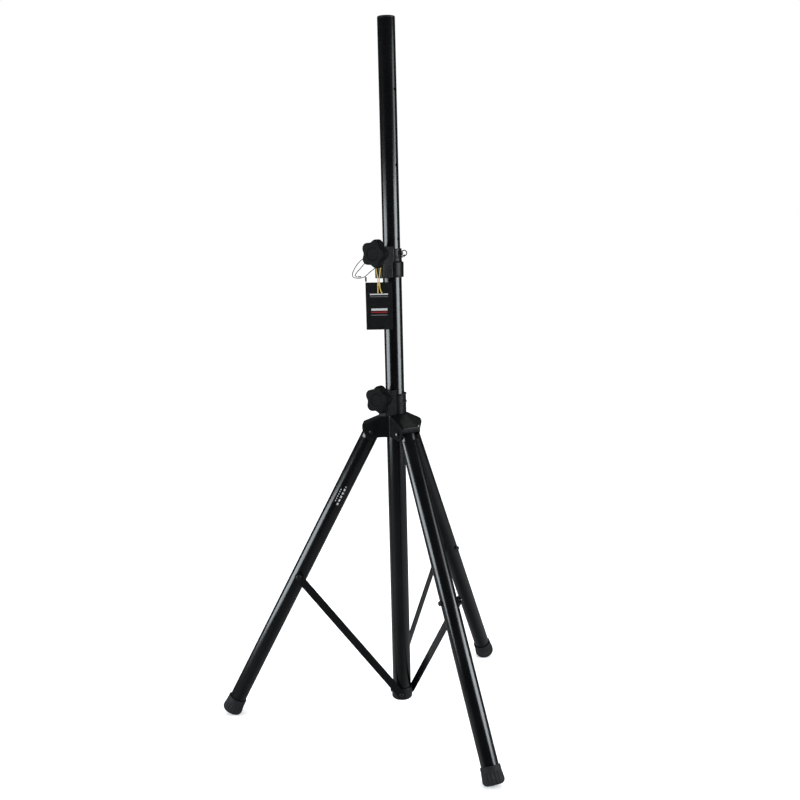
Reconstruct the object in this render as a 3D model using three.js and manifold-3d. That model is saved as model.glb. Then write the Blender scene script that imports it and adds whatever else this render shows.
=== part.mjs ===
// Tripod speaker stand: a two-stage pole on three folding legs.
// Millimetres, +Z up. The origin is the centre of the bottom cap's underside, on the pole's axis.

import * as THREE from 'three';
import { mergeVertices } from 'three/addons/utils/BufferGeometryUtils.js';
import Module from 'manifold-3d';

const wasm = await Module();
wasm.setup();

// ---------------------------------------------------------------- driving dimensions

const FLOOR_Z = -36.3;
const GAP = 0.3;
const ROUND_SIDES = 32;
const SMALL_SIDES = 10;

const TUBE_R = 19;
const TUBE_WALL = 1.2;
const TUBE_TOP = 927;

const MAST_R = 17.5;
const MAST_WALL = 1.5;
const MAST_BOTTOM = 398;
const MAST_TOP = 1396;
const PIN_AZIMUTH = 55;
const PIN_HOLE_R = 3.3;
const PIN_HOLE_PITCH = 145;
const PIN_HOLE_LOWEST = 537;
const PIN_HOLE_COUNT = 6;

const CAP_R = 21.6;
const CAP_HEIGHT = 26;
const CAP_FLOOR = 4;

const COLLAR_BOTTOM = 896;
const COLLAR_TOP = 953;
const COLLAR_WIDE_R = 23.3;
const COLLAR_RING_R = 20.2;

const HUB_TOP = 618;
const HUB_COLLAR_TOP = 660;
const HUB_COLLAR_R = 22.5;
const HUB_BORE_R = 19.4;
const HUB_ROOF_SLOPE = 22;
const LUG_HALF_WIDTH = 20.8;
const LUG_REACH = 68;
const LUG_NOSE_R = 8;

const LEG_R = 17.2;
const LEG_WALL = 1.2;
const LEG_SPREAD = 27.7;
const LEG_PIVOT_R = 49;
const LEG_PIVOT_Z = 583;
const LEG_TO_FOOT_END = 693;
const LEG_TO_BRACE = 346.5;
const LEGS = { left: -90, front: 30, back: 150 };

const BRACE_PIVOT_Z = 14.5;
const BRACE_WIDTH = 16.5;
const BRACE_THICK = 2.4;
const BRACE_OFFSET = CAP_R + 0.5;

const FOOT_LENGTH = 35;
const FOOT_RIM_R = 19.8;
const FOOT_R = 21.6;
const FOOT_ROUNDING = 9;
const FOOT_SOLE = 12;
const FOOT_RIM_BAND = 9;

const KNOB_AZIMUTH = -30;
const UPPER_KNOB_Z = 945;
const LOWER_KNOB_Z = 654.5;
const BOSS_FACE_R = 48;
const KNOB_BACK_R = 53;
const KNOB_THICK = 15.5;
const KNOB_TIP_R = 29;
const KNOB_VALLEY_R = 23.1;
const SCREW_R = 4;
const SCREW_TRAVEL = 1.25;
const PAD_R = 5;
const PAD_THICK = 2.2;

const UPPER_PAD_FACE = MAST_R + 0.4;
const LOWER_PAD_FACE = TUBE_R + 0.4;

const PIN_Z = 944;
const PIN_EYE_R = 24.9;
const RING_R = 5.3;
const RING_WIRE_R = 1.05;

const LANYARD_R = 0.75;
const STRING_R = 1.1;
const STRING_LOOP_R = 49.5;
const LANYARD_LOOP_R = 51.9;
const TAG_TOP = 888.5;
const TAG_WIDTH = 53;
const TAG_HEIGHT = 94;
const TAG_THICK = 0.9;

// ---------------------------------------------------------------- small tools

const radians = THREE.MathUtils.degToRad;

// Horizontal unit vector at an azimuth counted from -Y towards +X.
function outward(azimuth) {
  const angle = radians(azimuth);
  return new THREE.Vector3(Math.sin(angle), -Math.cos(angle), 0);
}

function withPosition(geometry) {
  const bare = geometry.index ? geometry.clone() : mergeVertices(geometry.clone());
  bare.deleteAttribute('normal');
  bare.deleteAttribute('uv');
  return mergeVertices(bare, 1e-4);
}

function toSolid(geometry) {
  const merged = withPosition(geometry);
  return new wasm.Manifold(new wasm.Mesh({
    numProp: 3,
    vertProperties: new Float32Array(merged.attributes.position.array),
    triVerts: new Uint32Array(merged.index.array),
  }));
}

function toGeometry(solid) {
  const mesh = solid.getMesh();
  const geometry = new THREE.BufferGeometry();
  geometry.setAttribute('position', new THREE.BufferAttribute(mesh.vertProperties, 3));
  geometry.setIndex(new THREE.BufferAttribute(mesh.triVerts, 1));
  geometry.computeVertexNormals();
  return geometry;
}

function cutAway(geometry, ...tools) {
  let solid = toSolid(geometry);
  for (const tool of tools) solid = solid.subtract(toSolid(tool));
  return toGeometry(solid);
}

function joinUp(...geometries) {
  let solid = toSolid(geometries[0]);
  for (const geometry of geometries.slice(1)) solid = solid.add(toSolid(geometry));
  return toGeometry(solid);
}

// Solid of revolution about +Z from [radius, z] pairs, listed anticlockwise with z upwards.
function turned(profile, sides = ROUND_SIDES) {
  const points = profile.map(([radius, z]) => new THREE.Vector2(radius, z));
  const closesOnItself = profile[0][0] > 0;
  if (closesOnItself) points.push(points[0].clone());
  return new THREE.LatheGeometry(points, sides).rotateX(Math.PI / 2);
}

function hollowTube(outerR, wall, bottom, top, sides = ROUND_SIDES) {
  const innerR = outerR - wall;
  return turned([[innerR, bottom], [outerR, bottom], [outerR, top], [innerR, top]], sides);
}

// Rod from one point to another.
function rod(from, to, radius, sides = SMALL_SIDES) {
  const length = from.distanceTo(to);
  const geometry = new THREE.CylinderGeometry(radius, radius, length, sides);
  const direction = to.clone().sub(from).normalize();
  const turn = new THREE.Quaternion().setFromUnitVectors(new THREE.Vector3(0, 1, 0), direction);
  const middle = from.clone().add(to).multiplyScalar(0.5);
  return geometry.applyQuaternion(turn).translate(middle.x, middle.y, middle.z);
}

// Turned shape laid along an azimuth: its own axis coordinate becomes the distance from the pole.
function turnedOutward(profile, azimuth, z, sides = SMALL_SIDES) {
  const geometry = turned(profile, sides).rotateY(Math.PI / 2).rotateZ(radians(azimuth - 90));
  return geometry.translate(0, 0, z);
}

// Round cord along a hand-set route.
function cordAlong(points, radius, steps, sides = 8) {
  const curve = new THREE.CatmullRomCurve3(points, false, 'centripetal');
  const section = new THREE.Shape();
  section.absarc(0, 0, radius, 0, 2 * Math.PI);
  return new THREE.ExtrudeGeometry(section, {
    steps,
    curveSegments: sides / 2,
    extrudePath: curve,
    bevelEnabled: false,
  });
}

const stand = new THREE.Group();

const finishes = {
  paint: { color: 0x0c0d0f, roughness: 0.28, metalness: 0.5 },
  plastic: { color: 0x1e2020, roughness: 0.62, metalness: 0 },
  rubber: { color: 0x17191b, roughness: 0.85, metalness: 0 },
  steel: { color: 0xa8abae, roughness: 0.35, metalness: 1 },
  blackSteel: { color: 0x15161a, roughness: 0.4, metalness: 0.8 },
  card: { color: 0x0b0b0c, roughness: 0.45, metalness: 0 },
  string: { color: 0xd8b83a, roughness: 0.8, metalness: 0 },
};

function add(name, geometry, finish, parent = stand) {
  const mesh = new THREE.Mesh(geometry, new THREE.MeshStandardMaterial(finishes[finish]));
  mesh.name = name;
  parent.add(mesh);
  return mesh;
}

// ---------------------------------------------------------------- pole

function addPole() {
  add('outer_tube', hollowTube(TUBE_R, TUBE_WALL, CAP_FLOOR + GAP, TUBE_TOP), 'paint');

  const cupWallR = TUBE_R + GAP;
  const cup = turned([
    [0, 0], [CAP_R - 5, 0], [CAP_R - 1.5, 1.5], [CAP_R, 5],
    [CAP_R, CAP_HEIGHT], [cupWallR, CAP_HEIGHT], [cupWallR, CAP_FLOOR], [0, CAP_FLOOR],
  ]);
  add('bottom_cap', cup, 'plastic');

  const holes = [];
  const across = outward(PIN_AZIMUTH).multiplyScalar(MAST_R + 3);
  for (let index = 0; index < PIN_HOLE_COUNT; index += 1) {
    const z = PIN_HOLE_LOWEST + index * PIN_HOLE_PITCH;
    const near = new THREE.Vector3(across.x, across.y, z);
    const far = new THREE.Vector3(-across.x, -across.y, z);
    holes.push(rod(near, far, PIN_HOLE_R));
  }
  const mast = hollowTube(MAST_R, MAST_WALL, MAST_BOTTOM, MAST_TOP);
  add('mast', cutAway(mast, ...holes), 'paint');

  const innerR = MAST_R - MAST_WALL - GAP;
  const plug = turned([
    [0, MAST_TOP - 20], [innerR, MAST_TOP - 20], [innerR, MAST_TOP + GAP], [MAST_R, MAST_TOP + GAP],
    [MAST_R, MAST_TOP + 2], [MAST_R - 1.2, MAST_TOP + 3.6], [MAST_R - 3.5, MAST_TOP + 4.5],
    [0, MAST_TOP + 4.5],
  ]);
  add('mast_top_plug', plug, 'plastic');

  const bush = turned([
    [0, MAST_BOTTOM - 6], [MAST_R - 1, MAST_BOTTOM - 6], [MAST_R - 0.1, MAST_BOTTOM - 5],
    [MAST_R - 0.1, MAST_BOTTOM - GAP], [innerR, MAST_BOTTOM - GAP], [innerR, MAST_BOTTOM + 22],
    [0, MAST_BOTTOM + 22],
  ]);
  add('mast_bottom_glide', bush, 'plastic');
}

// ---------------------------------------------------------------- collars and clamps

// Upright block that carries the clamp screw, tapering from the collar to its outer face.
function screwBoss(rootHalfWidth, faceHalfWidth, bottom, top) {
  const corner = 3;
  const plan = new THREE.Shape();
  plan.moveTo(0, -rootHalfWidth);
  plan.lineTo(rootHalfWidth * 0.9, -rootHalfWidth * 0.95);
  plan.lineTo(BOSS_FACE_R - corner, -faceHalfWidth);
  plan.quadraticCurveTo(BOSS_FACE_R, -faceHalfWidth, BOSS_FACE_R, -faceHalfWidth + corner);
  plan.lineTo(BOSS_FACE_R, faceHalfWidth - corner);
  plan.quadraticCurveTo(BOSS_FACE_R, faceHalfWidth, BOSS_FACE_R - corner, faceHalfWidth);
  plan.lineTo(rootHalfWidth * 0.9, rootHalfWidth * 0.95);
  plan.lineTo(0, rootHalfWidth);
  const options = { depth: top - bottom, bevelEnabled: false, curveSegments: 4 };
  const block = new THREE.ExtrudeGeometry(plan, options);
  return block.rotateZ(radians(KNOB_AZIMUTH - 90)).translate(0, 0, bottom);
}

function screwBore(z) {
  const along = outward(KNOB_AZIMUTH);
  const from = along.clone().multiplyScalar(5).setZ(z);
  const to = along.clone().multiplyScalar(BOSS_FACE_R + 5).setZ(z);
  return rod(from, to, SCREW_R + GAP, 16);
}

// Room for the pad, and for its travel when the screw is backed off.
function padPocket(z, padFace) {
  const along = outward(KNOB_AZIMUTH);
  const from = along.clone().multiplyScalar(5).setZ(z);
  const to = along.clone().multiplyScalar(padFace + PAD_THICK + SCREW_TRAVEL + GAP).setZ(z);
  return rod(from, to, PAD_R + GAP, 16);
}

function addUpperCollar() {
  const tubeBoreR = TUBE_R + GAP;
  const mastBoreR = MAST_R + GAP;
  const body = turned([
    [tubeBoreR - 2, COLLAR_BOTTOM], [COLLAR_WIDE_R, COLLAR_BOTTOM], [COLLAR_WIDE_R + 0.4, TUBE_TOP - 2],
    [COLLAR_WIDE_R - 0.4, TUBE_TOP - 0.6], [COLLAR_RING_R, TUBE_TOP], [COLLAR_RING_R, COLLAR_TOP - 1],
    [COLLAR_RING_R - 0.6, COLLAR_TOP], [tubeBoreR - 2, COLLAR_TOP],
  ]);
  const boss = screwBoss(15, 10, COLLAR_BOTTOM, UPPER_KNOB_Z + 13);
  const mastBore = turned([[0, COLLAR_BOTTOM - 5], [mastBoreR, COLLAR_BOTTOM - 5],
    [mastBoreR, UPPER_KNOB_Z + 20], [0, UPPER_KNOB_Z + 20]]);
  const tubeBore = turned([[0, COLLAR_BOTTOM - 5], [tubeBoreR, COLLAR_BOTTOM - 5],
    [tubeBoreR, TUBE_TOP + GAP], [0, TUBE_TOP + GAP]]);
  const pinAlong = outward(PIN_AZIMUTH);
  const pinHole = rod(
    pinAlong.clone().multiplyScalar(10).setZ(PIN_Z),
    pinAlong.clone().multiplyScalar(COLLAR_RING_R + 5).setZ(PIN_Z),
    2.5 + GAP,
  );
  const tools = [mastBore, tubeBore, screwBore(UPPER_KNOB_Z), padPocket(UPPER_KNOB_Z, UPPER_PAD_FACE), pinHole];
  add('upper_collar', cutAway(joinUp(body, boss), ...tools), 'plastic');
  add('upper_collar_rivet', rivet(COLLAR_RING_R, 84, 936), 'blackSteel');
}

// Small domed rivet head against a collar's side.
function rivet(seatR, azimuth, z) {
  const profile = [[0, seatR + GAP], [2.2, seatR + GAP], [1.8, seatR + 1.4], [0, seatR + 1.8]];
  return turnedOutward(profile, azimuth, z, 10);
}

function addHubCollar() {
  const bottom = HUB_TOP + GAP;
  const lipR = HUB_COLLAR_R + 1.2;
  const body = turned([
    [HUB_BORE_R - 2, bottom], [HUB_COLLAR_R, bottom], [HUB_COLLAR_R, HUB_COLLAR_TOP - 2],
    [lipR, HUB_COLLAR_TOP - 2], [lipR, HUB_COLLAR_TOP], [HUB_BORE_R - 2, HUB_COLLAR_TOP],
  ]);
  const boss = screwBoss(15, 10, bottom, LOWER_KNOB_Z + 14.5);
  const bore = turned([[0, bottom - 5], [HUB_BORE_R, bottom - 5],
    [HUB_BORE_R, LOWER_KNOB_Z + 20], [0, LOWER_KNOB_Z + 20]]);
  const tools = [bore, screwBore(LOWER_KNOB_Z), padPocket(LOWER_KNOB_Z, LOWER_PAD_FACE)];
  add('hub_collar', cutAway(joinUp(body, boss), ...tools), 'plastic');
  add('hub_collar_rivet', rivet(HUB_COLLAR_R, 84, 643), 'blackSteel');
}

// Five broad lobes, from a cosine on the radius flattened at the tips.
function lobedOutline() {
  const middle = (KNOB_TIP_R + KNOB_VALLEY_R) / 2;
  const swing = (KNOB_TIP_R - KNOB_VALLEY_R) / 2;
  const outline = new THREE.Shape();
  const count = 50;
  for (let index = 0; index < count; index += 1) {
    const angle = (index / count) * 2 * Math.PI;
    const wave = Math.cos(5 * angle);
    const radius = middle + swing * (wave + 0.18 * (1 - wave * wave));
    const x = radius * Math.cos(angle);
    const y = radius * Math.sin(angle);
    if (index === 0) outline.moveTo(x, y);
    else outline.lineTo(x, y);
  }
  return outline;
}

// Clamp: lobed knob with a blind bore, the screw that turns in it, and the pad the screw presses.
function addClamp(prefix, z, padFace) {
  const bevel = 2.5;
  const grip = new THREE.ExtrudeGeometry(lobedOutline(), {
    depth: KNOB_THICK - 2 * bevel,
    bevelEnabled: true,
    bevelThickness: bevel,
    bevelSize: bevel,
    bevelOffset: -bevel,
    bevelSegments: 2,
  });
  const turn = radians(KNOB_AZIMUTH - 90);
  grip.rotateZ(Math.PI / 2).translate(0, 0, KNOB_BACK_R + bevel);
  grip.rotateY(Math.PI / 2).rotateZ(turn).translate(0, 0, z);
  const boreEnd = KNOB_BACK_R + 11;
  const bore = turnedOutward(
    [[0, KNOB_BACK_R - 5], [SCREW_R + GAP, KNOB_BACK_R - 5], [SCREW_R + GAP, boreEnd], [0, boreEnd]],
    KNOB_AZIMUTH, z, 16,
  );
  add(`${prefix}_knob`, cutAway(grip, bore), 'plastic');

  const padBack = padFace + PAD_THICK;
  add(`${prefix}_clamp_pad`, turnedOutward(
    [[0, padFace], [PAD_R - 0.5, padFace], [PAD_R, padFace + 0.5], [PAD_R, padBack], [0, padBack]],
    KNOB_AZIMUTH, z, 16,
  ), 'steel');

  const screwStart = padBack + GAP;
  const screwEnd = boreEnd - GAP;
  add(`${prefix}_clamp_screw`, turnedOutward(
    [[0, screwStart], [SCREW_R, screwStart], [SCREW_R, screwEnd], [0, screwEnd]],
    KNOB_AZIMUTH, z, 16,
  ), 'steel');
}

// ---------------------------------------------------------------- hub

// Side view of one hooded lug: radius to the right, height up.
function lugProfile() {
  const slope = Math.tan(radians(HUB_ROOF_SLOPE));
  const noseX = LUG_REACH - LUG_NOSE_R;
  const noseZ = HUB_TOP - (noseX - HUB_COLLAR_R) * slope - LUG_NOSE_R + 1;
  const cheekR = 15;
  const profile = new THREE.Shape();
  profile.moveTo(0, LEG_PIVOT_Z - cheekR + 3);
  profile.lineTo(LEG_PIVOT_R - 20, LEG_PIVOT_Z - cheekR + 3);
  profile.absarc(LEG_PIVOT_R, LEG_PIVOT_Z, cheekR, radians(-120), radians(-20), false);
  profile.lineTo(LUG_REACH, LEG_PIVOT_Z + 6);
  profile.absarc(noseX, noseZ, LUG_NOSE_R, 0, radians(90 - HUB_ROOF_SLOPE), false);
  profile.lineTo(HUB_COLLAR_R, HUB_TOP);
  profile.lineTo(0, HUB_TOP);
  return profile;
}

// Space the leg's top swings through, from upright to fully spread.
function pocketProfile() {
  const radius = LEG_R + 0.5;
  const spread = radians(LEG_SPREAD + 0.6);
  const reach = 90;
  const down = new THREE.Vector2(Math.sin(spread), -Math.cos(spread)).multiplyScalar(reach);
  const side = new THREE.Vector2(Math.cos(spread), Math.sin(spread)).multiplyScalar(radius);
  const profile = new THREE.Shape();
  profile.moveTo(LEG_PIVOT_R + side.x + down.x, LEG_PIVOT_Z + side.y + down.y);
  profile.lineTo(LEG_PIVOT_R + side.x, LEG_PIVOT_Z + side.y);
  profile.absarc(LEG_PIVOT_R, LEG_PIVOT_Z, radius, spread, Math.PI, false);
  profile.lineTo(LEG_PIVOT_R - radius, LEG_PIVOT_Z - reach);
  return profile;
}

// Side view swept across a lug's width and turned to its azimuth.
function acrossLug(profile, halfWidth, azimuth) {
  const options = { depth: 2 * halfWidth, bevelEnabled: false, curveSegments: 12 };
  const geometry = new THREE.ExtrudeGeometry(profile, options);
  geometry.translate(0, 0, -halfWidth).rotateX(Math.PI / 2);
  return geometry.rotateZ(radians(azimuth - 90));
}

function addHub() {
  const azimuths = Object.values(LEGS);
  const lugs = azimuths.map((azimuth) => acrossLug(lugProfile(), LUG_HALF_WIDTH, azimuth));
  const core = turned([[0, LEG_PIVOT_Z - 12], [24.5, LEG_PIVOT_Z - 12], [24.5, HUB_TOP - 1],
    [23.5, HUB_TOP], [0, HUB_TOP]]);
  const pockets = azimuths.map((azimuth) => acrossLug(pocketProfile(), LEG_R + 0.4, azimuth));
  const bore = turned([[0, 500], [HUB_BORE_R, 500], [HUB_BORE_R, 700], [0, 700]]);
  const pivotHoles = azimuths.map((azimuth) => {
    const hole = rod(new THREE.Vector3(LEG_PIVOT_R, -30, LEG_PIVOT_Z),
      new THREE.Vector3(LEG_PIVOT_R, 30, LEG_PIVOT_Z), 3 + GAP);
    return hole.rotateZ(radians(azimuth - 90));
  });
  add('hub', cutAway(joinUp(core, ...lugs), bore, ...pockets, ...pivotHoles), 'plastic');
}

// ---------------------------------------------------------------- legs

// Bolt along Y: shank between two faces and a domed head beyond the far face.
function crossBolt(from, headSeat, shankR, headR) {
  const headTop = headSeat + 3;
  const profile = [
    [0, from], [shankR, from], [shankR, headSeat], [headR, headSeat],
    [headR - 0.6, headSeat + 1.6], [headR * 0.55, headTop], [0, headTop],
  ];
  return turned(profile, SMALL_SIDES).rotateX(-Math.PI / 2);
}

// Hexagon nut along Y, with a clearance bore, between two faces.
function crossNut(from, to, flatR, boreR) {
  const outer = turned([[0, from], [flatR, from], [flatR, to], [0, to]], 6);
  const bore = turned([[0, from - 5], [boreR, from - 5], [boreR, to + 5], [0, to + 5]], SMALL_SIDES);
  return cutAway(outer, bore).rotateX(-Math.PI / 2);
}

function crossHole(radius, alongLeg) {
  const from = new THREE.Vector3(0, -40, alongLeg);
  const to = new THREE.Vector3(0, 40, alongLeg);
  return rod(from, to, radius);
}

// Rubber cup on a leg's end, along -Z: a straight rim band, a widening wall and a rounded sole.
function footCap() {
  const end = -LEG_TO_FOOT_END;
  const rim = end + FOOT_LENGTH;
  const seatR = LEG_R + GAP;
  const tubeEnd = end + FOOT_SOLE;
  const profile = [[0, end], [FOOT_R - FOOT_ROUNDING, end]];
  for (const angle of [-60, -30, 0]) {
    profile.push([
      FOOT_R - FOOT_ROUNDING + FOOT_ROUNDING * Math.cos(radians(angle)),
      end + FOOT_ROUNDING + FOOT_ROUNDING * Math.sin(radians(angle)),
    ]);
  }
  profile.push([FOOT_RIM_R, rim - FOOT_RIM_BAND], [FOOT_RIM_R, rim], [seatR, rim]);
  profile.push([seatR, tubeEnd], [0, tubeEnd]);
  return turned(profile, 24);
}

function addLeg(side, azimuth) {
  const legPlane = new THREE.Group();
  legPlane.rotation.z = radians(azimuth - 90);
  stand.add(legPlane);

  const leg = new THREE.Group();
  leg.position.set(LEG_PIVOT_R, 0, LEG_PIVOT_Z);
  leg.rotation.y = -radians(LEG_SPREAD);
  legPlane.add(leg);

  const tubeTop = -19;
  const tubeEnd = -LEG_TO_FOOT_END + FOOT_SOLE + GAP;
  const tube = hollowTube(LEG_R, LEG_WALL, tubeEnd, tubeTop, 24);
  add(`leg_tube_${side}`, cutAway(tube, crossHole(3 + GAP, -LEG_TO_BRACE)), 'paint', leg);

  const insideR = LEG_R - LEG_WALL - GAP;
  const stem = turned([[0, -60], [insideR, -60], [insideR, tubeTop + 1], [0, tubeTop + 1]], 24);
  const shoulder = turned([[0, tubeTop + GAP], [LEG_R, tubeTop + GAP], [LEG_R, 40], [0, 40]], 24);
  const crown = new THREE.CylinderGeometry(LEG_R, LEG_R, 60, 24);
  const block = new THREE.BoxGeometry(2 * LEG_R, 60, 80).translate(0, 0, -40);
  const envelope = toSolid(crown).add(toSolid(block));
  const head = toGeometry(toSolid(shoulder).intersect(envelope));
  add(`leg_insert_${side}`, cutAway(joinUp(stem, head), crossHole(3 + GAP, 0)), 'plastic', leg);

  const sole = footCap();
  const slab = new THREE.BoxGeometry(1400, 200, 40);
  slab.translate(0, 0, FLOOR_Z - 20 - LEG_PIVOT_Z).rotateY(radians(LEG_SPREAD));
  add(`foot_cap_${side}`, cutAway(sole, slab), 'rubber', leg);

  const lugFace = LUG_HALF_WIDTH + GAP;
  const pivotBolt = crossBolt(-lugFace - 3.2, lugFace, 3, 4.6);
  add(`pivot_bolt_${side}`, pivotBolt, 'blackSteel', leg);
  add(`pivot_nut_${side}`, crossNut(-lugFace - 3, -lugFace, 5, 3 + GAP), 'steel', leg);

  const bracePlane = BRACE_OFFSET + BRACE_THICK;
  const braceBolt = crossBolt(-LEG_R - 5.4, bracePlane + GAP, 3, 5.6);
  add(`brace_bolt_${side}`, braceBolt.translate(0, 0, -LEG_TO_BRACE), 'blackSteel', leg);
  const braceNut = crossNut(-LEG_R - 5, -LEG_R - GAP, 5.4, 3 + GAP);
  add(`brace_nut_${side}`, braceNut.translate(0, 0, -LEG_TO_BRACE), 'blackSteel', leg);
  const spacer = hollowTube(6, 6 - 3 - GAP, LEG_R + GAP, BRACE_OFFSET - GAP, SMALL_SIDES);
  add(`brace_spacer_${side}`, spacer.rotateX(-Math.PI / 2).translate(0, 0, -LEG_TO_BRACE), 'plastic', leg);

  addBrace(side, legPlane);
}

// Flat bar from the leg's bolt down to the bottom cap's side, on the left-hand side of the leg.
function addBrace(side, legPlane) {
  const spread = radians(LEG_SPREAD);
  const topR = LEG_PIVOT_R + LEG_TO_BRACE * Math.sin(spread);
  const topZ = LEG_PIVOT_Z - LEG_TO_BRACE * Math.cos(spread);
  const length = Math.hypot(topR, topZ - BRACE_PIVOT_Z);

  const brace = new THREE.Group();
  brace.position.set(topR, 0, topZ);
  brace.rotation.y = Math.atan2(topR, topZ - BRACE_PIVOT_Z);
  legPlane.add(brace);

  const halfWidth = BRACE_WIDTH / 2;
  const bar = new THREE.Shape();
  bar.absarc(0, 0, halfWidth, 0, Math.PI, false);
  bar.absarc(0, -length, halfWidth, Math.PI, 2 * Math.PI, false);
  for (const end of [0, -length]) {
    const hole = new THREE.Path();
    hole.absarc(0, end, 3 + GAP, 0, 2 * Math.PI, true);
    bar.holes.push(hole);
  }
  const options = { depth: BRACE_THICK, bevelEnabled: false, curveSegments: 5 };
  const plate = new THREE.ExtrudeGeometry(bar, options);
  plate.rotateX(Math.PI / 2).translate(0, BRACE_OFFSET + BRACE_THICK, 0);
  add(`brace_${side}`, plate, 'paint', brace);

  const screw = crossBolt(BRACE_OFFSET, BRACE_OFFSET + BRACE_THICK + GAP, 3, 5);
  add(`brace_screw_${side}`, screw.translate(0, 0, -length), 'blackSteel', brace);
}

// ---------------------------------------------------------------- safety pin and lanyard

function addSafetyPin() {
  const along = outward(PIN_AZIMUTH);
  const shank = turnedOutward([
    [0, MAST_R + 0.9], [2, MAST_R + 0.9], [2.5, MAST_R + 1.4], [2.5, COLLAR_RING_R + GAP],
    [3.4, COLLAR_RING_R + GAP], [3.4, PIN_EYE_R - 2.2], [0, PIN_EYE_R - 2.2],
  ], PIN_AZIMUTH, PIN_Z);
  const eyeBlock = new THREE.CylinderGeometry(3.6, 3.6, 2.6, SMALL_SIDES).rotateX(Math.PI / 2);
  eyeBlock.translate(along.x * PIN_EYE_R, along.y * PIN_EYE_R, PIN_Z);
  const eyeHole = new THREE.CylinderGeometry(1.7, 1.7, 10, SMALL_SIDES).rotateX(Math.PI / 2);
  eyeHole.translate(along.x * PIN_EYE_R, along.y * PIN_EYE_R, PIN_Z);
  add('safety_pin', cutAway(joinUp(shank, eyeBlock), eyeHole), 'blackSteel');

  const ring = new THREE.TorusGeometry(RING_R, RING_WIRE_R, 8, 22).rotateX(Math.PI / 2);
  ring.translate(along.x * PIN_EYE_R + RING_R, along.y * PIN_EYE_R, PIN_Z);
  add('pin_ring', ring, 'blackSteel');
}

// Point beside the clamp screw: distance from the pole, offset to the right, height.
function besideScrew(radius, offset, z) {
  const along = outward(KNOB_AZIMUTH);
  const right = new THREE.Vector3(-along.y, along.x, 0);
  return along.multiplyScalar(radius).addScaledVector(right, offset).setZ(z);
}

// Coated wire: from the pin's ring round the back of the collar, out to the left, down and along
// the bottom of an open eye, up and over the clamp screw, and back down to a crimp.
function addLanyard() {
  const fromPin = [
    [25.6, -5.5, 938.5], [25.6, 3, 937], [23, 13, 935.5], [15, 22.5, 934.5], [2, 27.5, 934],
    [-13, 25.5, 934.5], [-27, 15.5, 936], [-38, 1.5, 938], [-47, -13, 938.5], [-54.5, -25, 935.5],
    [-61, -32, 930.5], [-67.5, -35, 923.5], [-73.5, -36, 914], [-77, -36, 904.5], [-75.5, -36, 899.4],
    [-69.5, -36, 897.3], [-61, -36, 897.3], [-54, -36.5, 899], [-48.5, -37, 903], [-41.5, -37.8, 909],
  ];
  const besideKnob = [[-8.5, 915], [-3, 921], [2, 929], [4.9, 937]];
  const loop = SCREW_R + LANYARD_R + 0.5;
  for (const angle of [0, 35, 70, 105, 135]) {
    besideKnob.push([loop * Math.cos(radians(angle)), UPPER_KNOB_Z + loop * Math.sin(radians(angle))]);
  }
  besideKnob.push([-10, 943], [-19, 936], [-27, 928.5]);
  const toCrimp = [
    [-53.5, -31.5, 924.5], [-63, -33.5, 914], [-70, -35.2, 906], [-71.6, -36, 902.6],
    [-69.8, -36, 900.6], [-67.2, -36, 899.9],
  ];
  const points = [
    ...fromPin.map(([x, y, z]) => new THREE.Vector3(x, y, z)),
    ...besideKnob.map(([offset, z]) => besideScrew(LANYARD_LOOP_R, offset, z)),
    ...toCrimp.map(([x, y, z]) => new THREE.Vector3(x, y, z)),
  ];
  add('lanyard', cordAlong(points, LANYARD_R, 78), 'rubber');
  const crimp = rod(new THREE.Vector3(-66.9, -36, 899.9), new THREE.Vector3(-59.5, -36, 899.9), 1.2);
  add('lanyard_crimp', crimp, 'steel');
  const end = rod(new THREE.Vector3(25.6, -11.9, 939.6), new THREE.Vector3(25.6, -5.8, 938.6), 1.5);
  add('lanyard_end', end, 'rubber');
  const sleeve = rod(new THREE.Vector3(-50.5, -36.8, 889.5), new THREE.Vector3(-50.5, -36.8, 899.2), 1.8);
  add('lanyard_sleeve', sleeve, 'rubber');
}

// ---------------------------------------------------------------- hang tag

function addTag() {
  const middle = outward(KNOB_AZIMUTH).multiplyScalar(STRING_LOOP_R);
  const card = new THREE.BoxGeometry(TAG_WIDTH, TAG_THICK, TAG_HEIGHT);
  card.translate(middle.x, middle.y, TAG_TOP - TAG_HEIGHT / 2);
  add('tag_card', card, 'card');

  const front = middle.y - TAG_THICK / 2 - STRING_R - GAP;
  const loop = SCREW_R + STRING_R + GAP;
  const points = [
    new THREE.Vector3(middle.x - 1.8, front, 866.5),
    new THREE.Vector3(middle.x - 1.8, front, 876),
    new THREE.Vector3(middle.x - 1.6, front, 886),
    new THREE.Vector3(middle.x - 1.5, middle.y - 0.6, 896),
    besideScrew(STRING_LOOP_R, -loop + 0.2, 917),
    besideScrew(STRING_LOOP_R, -loop, 935),
    besideScrew(STRING_LOOP_R, -loop, UPPER_KNOB_Z),
  ];
  for (const angle of [150, 120, 90, 60, 30]) {
    const offset = loop * Math.cos(radians(angle));
    points.push(besideScrew(STRING_LOOP_R, offset, UPPER_KNOB_Z + loop * Math.sin(radians(angle))));
  }
  points.push(
    besideScrew(STRING_LOOP_R, loop, UPPER_KNOB_Z),
    besideScrew(STRING_LOOP_R, loop, 935),
    besideScrew(STRING_LOOP_R, loop - 0.2, 917),
    new THREE.Vector3(middle.x + 1.5, middle.y - 0.6, 896),
    new THREE.Vector3(middle.x + 1.6, front, 886),
    new THREE.Vector3(middle.x + 2.6, front, 876),
    new THREE.Vector3(middle.x + 6, front, 866.5),
  );
  add('tag_string', cordAlong(points, STRING_R, 50), 'string');
}

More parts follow.
